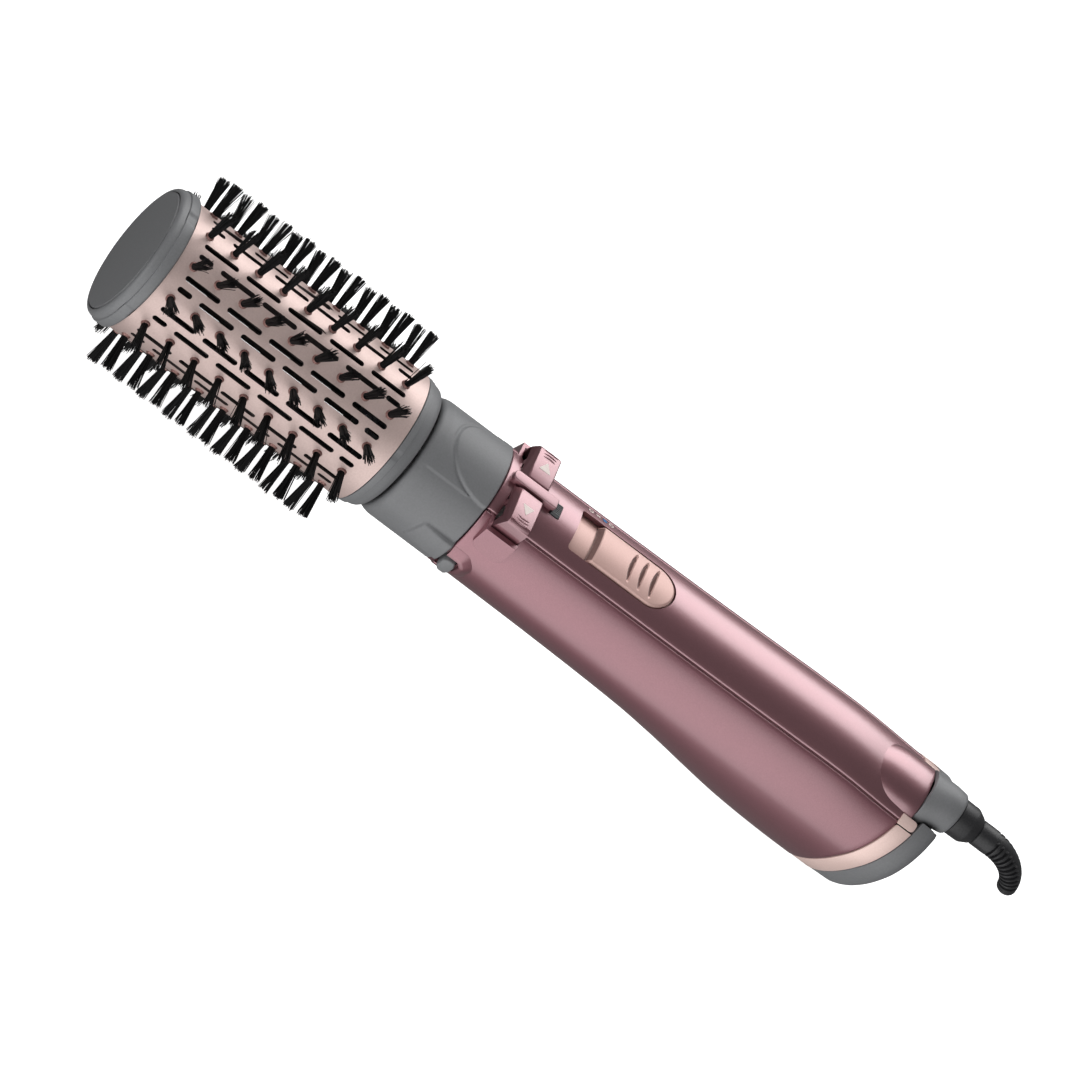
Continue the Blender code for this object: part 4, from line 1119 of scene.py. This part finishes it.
def make_band():
    """The rose-gold band between the handle's shells and the intake cover."""
    first, slope = REAR_PLANE
    second, second_slope = BAND_PLANE
    bm = bmesh.new()
    rings = [rear_ring(bm, first + back, slope, 1.0, inset)
             for back, inset in ((0.0, 2.0), (0.0, 0.3), (0.15, 0.08), (0.4, 0.0))]
    rings += [rear_ring(bm, second - front, second_slope, 1.0, inset)
              for front, inset in ((0.4, 0.0), (0.15, 0.08), (0.0, 0.3), (0.0, 2.0))]
    bridge_rows(bm, rings, looped=True)
    face_outward(bm)
    band = piece("intake_band_fine", bm, [ROSE_TRIM], sharp=45.0)
    boolean(band, passage(9.0, 14.9, 14.9))
    attach(band, "handle", "rose_trim", "intake_band")


def make_band_lugs():
    """A block at each upper end of the band, in line with the parting gap."""
    for side, label in SIDES:
        lug = rounded([(309.3, 0.0), (315.6, 0.0), (315.6, 3.9), (309.3, 3.9)], [0.3, 1.5, 1.5, 0.3])

        def place(x, up, level):
            angle = math.radians(side * (39.9 - 2.5 * up))
            height, half_width, _ = handle_section(x)
            wall = 1.0 / math.sqrt((math.sin(angle) / half_width) ** 2 + (math.cos(angle) / height) ** 2)
            return Vector((x, math.sin(angle) * (wall + level), math.cos(angle) * (wall + level)))
        bm = bmesh.new()
        prism(bm, lug, -1.8, 0.45, place)
        bevelled(bm, 0.4, 3, 40.0)
        attach(piece("band_lug_" + label, bm, [ROSE_TRIM]), "handle", "rose_trim")


def make_intake_cover():
    """The grey cap behind the band, with the slots that the fan breathes through."""
    front, slope = BAND_PLANE
    bm = bmesh.new()
    outline = [(front + 0.6, slope, 0.995), (314.0, 0.235, 0.99), (317.0, 0.20, 0.985), (318.4, 0.19, 0.965),
               (319.4, 0.182, 0.94), (320.3, 0.175, 0.905), (320.9, 0.17, 0.84)]
    rings = [rear_ring(bm, front + 0.3, slope, 0.995, 0.3)]
    rings += [rear_ring(bm, *values) for values in outline]
    bridge_rows(bm, rings)
    bm.faces.new(rings[-1])
    inner = [rear_ring(bm, front + 0.3, slope, 0.995, 2.0)]
    inner += [rear_ring(bm, *values, 2.0) for values in outline[:-2]]
    inner.append(rear_ring(bm, 318.7, 0.17, 0.82))
    bridge_rows(bm, inner)
    bm.faces.new(inner[-1][::-1])
    bridge(bm, inner[0], rings[0])
    face_outward(bm)
    cover = piece("intake_cover_fine", bm, [GREY], sharp=40.0)
    boolean(cover, passage(8.9, 10.3, BOSS_Z - 3.7))
    bm = bmesh.new()
    for i in range(12):
        z = -25.0 + 2.7 * i
        half = 15.5 * math.sqrt(max(1.0 - ((z + 9.0) / 20.0) ** 2, 0.05))
        for low, high in ((-half, -1.0), (1.0, half)):
            prism(bm, stadium(low, high, 0.8, z, 4), 308.0, 330.0, lengthwise)
    boolean(cover, piece("tool", bm, [], smooth=False))
    attach(cover, "intake", "grey_plastic", "intake_cover")


def make_cord_collar():
    """The grey collar: wide like the boss in front, and round at the cord's swivel."""
    bm = bmesh.new()
    sections = [(312.7, COLLAR_BORE_R, COLLAR_BORE_R, BOSS_Z), (312.7, 9.7, 8.5, 18.8),
                (312.8, 9.8, 8.6, 18.8), (313.5, 9.8, 8.6, 18.85), (316.0, 9.1, 8.45, 19.4),
                (318.5, 8.5, 8.3, 20.1), (320.5, 8.15, 8.15, 20.5)]
    sections += [(x, radius, radius, BOSS_Z) for x, radius in (
        (323.8, 7.75), (324.5, 7.6), (324.9, 7.3), (325.0, 6.9), (325.0, COLLAR_BORE_R))]
    bridge_rows(bm, [ellipse_ring(bm, *values) for values in sections], looped=True)
    face_outward(bm)
    attach(piece("cord_collar_fine", bm, [GREY]), "handle", "grey_plastic", "cord_collar")


def make_cord_swivel():
    bm = bmesh.new()
    outline = [(315.0, 3.6), (315.0, 4.9), (325.3, 4.9), (325.3, 6.3), (325.5, 6.5), (330.6, 6.4),
               (331.2, 6.25), (333.6, 5.0), (334.0, 4.7), (334.0, 3.6)]
    turned(bm, outline, 72, z=BOSS_Z)
    attach(piece("cord_swivel_fine", bm, [RUBBER]), "cord_guard", "black_rubber", "cord_swivel")


def guard_centre(s):
    """Point and direction at a distance along the strain relief from its root."""
    straight = BEND_START_X - SWIVEL_END_X
    if s < straight:
        return Vector((SWIVEL_END_X + s, 0.0, BOSS_Z)), Vector((1.0, 0.0, 0.0))
    a = (s - straight) / BEND_R
    point = Vector((BEND_START_X + BEND_R * math.sin(a), 0.0, BOSS_Z - BEND_R * (1.0 - math.cos(a))))
    return point, Vector((math.cos(a), 0.0, -math.sin(a)))


def guard_ring(bm, s, radius_at, back=0.0, count=72):
    """A ring round the strain relief; radius_at(a) gives the radius at an angle from its upper side."""
    point, direction = guard_centre(s)
    up = Vector((-direction.z, 0.0, direction.x))
    side = Vector((0.0, 1.0, 0.0))
    ring = []
    for k in range(count):
        a = 2 * math.pi * k / count
        out = up * math.cos(a) + side * math.sin(a)
        ring.append(bm.verts.new(point - direction * back + out * radius_at(a)))
    return ring


def make_strain_relief():
    """A bent, tapered rubber guard with a rib cut out every few millimetres, left whole above and below."""
    straight = BEND_START_X - SWIVEL_END_X
    bend_length = BEND_R * math.radians(BEND_ANGLE)
    total = straight + bend_length
    rib_start = 6.4
    rib_end = total - 2.6
    pitch = (rib_end - rib_start) / RIB_COUNT
    levels = 260
    bm = bmesh.new()
    rings = []
    for i in range(levels + 1):
        s = total * i / levels
        radius = GUARD_ROOT_R + (GUARD_TIP_R - GUARD_ROOT_R) * max(s - straight, 0.0) / bend_length
        end = total - s
        if end < 1.2:
            radius *= math.sqrt(max(1.0 - (1.0 - end / 1.2) ** 2 * 0.45, 0.0))
        if s < 0.5:
            radius -= 0.4 * (1.0 - s / 0.5)
        groove = 0.0
        if rib_start < s < rib_end:
            phase = ((s - rib_start) / pitch) % 1.0
            groove = smoothstep(phase, 0.06, 0.16) * (1.0 - smoothstep(phase, 0.52, 0.62))

        def grooved(a):
            return radius - 1.15 * groove * (1.0 - smoothstep(abs(math.cos(a)), 0.86, 0.95))
        rings.append(guard_ring(bm, s, grooved))
    bridge_rows(bm, rings)
    hole = [guard_ring(bm, total, lambda a: radius, back)
            for radius, back in ((2.1, 0.0), (1.9, 0.3), (1.9, 4.0))]
    bridge_rows(bm, [rings[-1]] + hole)
    bm.faces.new(hole[-1])
    root = [ellipse_ring(bm, x, 3.2, 3.2, BOSS_Z, 72) for x in (334.2, 320.0)]
    bridge_rows(bm, [root[1], root[0], rings[0]])
    bm.faces.new(root[1][::-1])
    face_outward(bm)
    guard = piece("strain_relief_fine", bm, [RUBBER], sharp=45.0)
    attach(guard, "cord_guard", "black_rubber", "strain_relief")


# ---------------------------------------------------------------- materials of the CAD nodes that stay
INNER_MATERIALS = (
    (STEEL, ("drive_shaft", "neck_bearing", "rocker_pin", "output_shaft", "gearbox", "rotation_motor",
             "heater_coil", "fan_motor", "fan_shaft", "board_screw_1", "board_screw_2")),
    (WHITE, ("switch_carrier", "drive_coupling", "motor_bracket", "thermostat", "fan_duct")),
    # The drive hub is a real moulding, coloured black as painted shade so that what shows through the
    # barrel's slots stays dark.
    (BLACK_PLASTIC, ("drive_hub", "micro_switch_left", "micro_switch_right", "slide_switch", "fan_impeller")),
    (MICA, ("mica_tube", "heater_former")), (GREY, ("head_socket",)), (BOARD, ("control_board",)),
    (ROSE_TRIM, ("capacitor",)), (FILTER, ("intake_filter",)))


def paint_inner_nodes():
    for mat, names in INNER_MATERIALS:
        for name in names:
            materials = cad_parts[name].data.materials
            materials.clear()
            materials.append(mat)


# ---------------------------------------------------------------- floor, light and camera
def area_light(name, place, target, size, power):
    light = bpy.data.lights.new(name, "AREA")
    light.shape = "RECTANGLE"
    light.size, light.size_y = size
    light.energy = power
    obj = bpy.data.objects.new(name, light)
    obj.location = place
    obj.rotation_mode = "QUATERNION"
    obj.rotation_quaternion = (target - place).to_track_quat("-Z", "Y")
    bpy.context.scene.collection.objects.link(obj)


def make_stage():
    """A pale floor that glows evenly and doesn't light the brush, a dim world and three wide lamps."""
    low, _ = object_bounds()
    middle = Vector((0.18, 0.0, 0.0))
    bm = bmesh.new()
    bmesh.ops.create_grid(bm, x_segments=1, y_segments=1, size=4000.0)
    pale = surface("pale_floor", (0.90, 0.90, 0.90), (0.92, 0.92, 0.92), (0.8, 0.9), 0.0, 40.0)
    shader = pale.node_tree.nodes["Principled BSDF"]
    shader.inputs["Emission Color"].default_value = (1.0, 1.0, 1.0, 1.0)
    shader.inputs["Emission Strength"].default_value = 0.8
    floor = piece("floor", bm, [pale], smooth=False)
    floor.location = (middle.x, 0.0, low.z - 0.0002)
    floor.visible_diffuse = False
    floor.visible_glossy = False
    floor.visible_shadow = False

    world = bpy.data.worlds.new("studio")
    world.use_nodes = True
    background = world.node_tree.nodes["Background"]
    background.inputs["Color"].default_value = (1.0, 1.0, 1.0, 1.0)
    background.inputs["Strength"].default_value = 0.16
    bpy.context.scene.world = world
    area_light("top_soft", middle + radial(53.0, 0.9), middle, (1.2, 0.8), 9.5)
    area_light("side_soft", middle + radial(-93.0, 0.9), middle, (1.2, 1.7), 9.6)
    area_light("front_fill", Vector((-0.65, -0.45, 0.1)), Vector((0.0, 0.0, 0.0)), (0.5, 0.5), 2.5)
    bpy.context.scene.view_settings.view_transform = "Standard"


def make_camera():
    """A long lens that looks down at the visible side; the brush runs from upper left to lower right."""
    to_camera = Vector((-0.275, -0.631, 0.7255)).normalized()
    axis = Vector((1.0, 0.0, 0.0))
    along = (axis - to_camera * axis.dot(to_camera)).normalized()
    across = to_camera.cross(along)
    tilt = math.radians(37.0)
    right = along * math.cos(tilt) + across * math.sin(tilt)
    up = to_camera.cross(right)
    centre = right * 0.12879 - up * 0.09211
    distance = 8.0
    field_width = 0.342
    lens = bpy.data.cameras.new("camera")
    lens.sensor_width = 36.0
    lens.lens = lens.sensor_width * distance / field_width
    lens.clip_start = 0.05
    lens.clip_end = 50.0
    camera = bpy.data.objects.new("camera", lens)
    turn = Matrix((right, up, to_camera)).transposed().to_4x4()
    camera.matrix_world = Matrix.Translation(centre + to_camera * distance) @ turn
    bpy.context.scene.collection.objects.link(camera)
    bpy.context.scene.camera = camera


make_camera()
make_sleeve()
make_bristles()
make_tip()
make_rear_ring()
make_neck()
make_upper_cover()
make_lower_body()
make_rocker()
make_window()
make_slider()
make_symbols()
make_release_buttons()
make_band()
make_band_lugs()
make_intake_cover()
make_cord_collar()
make_cord_swivel()
make_strain_relief()
paint_inner_nodes()
make_stage()
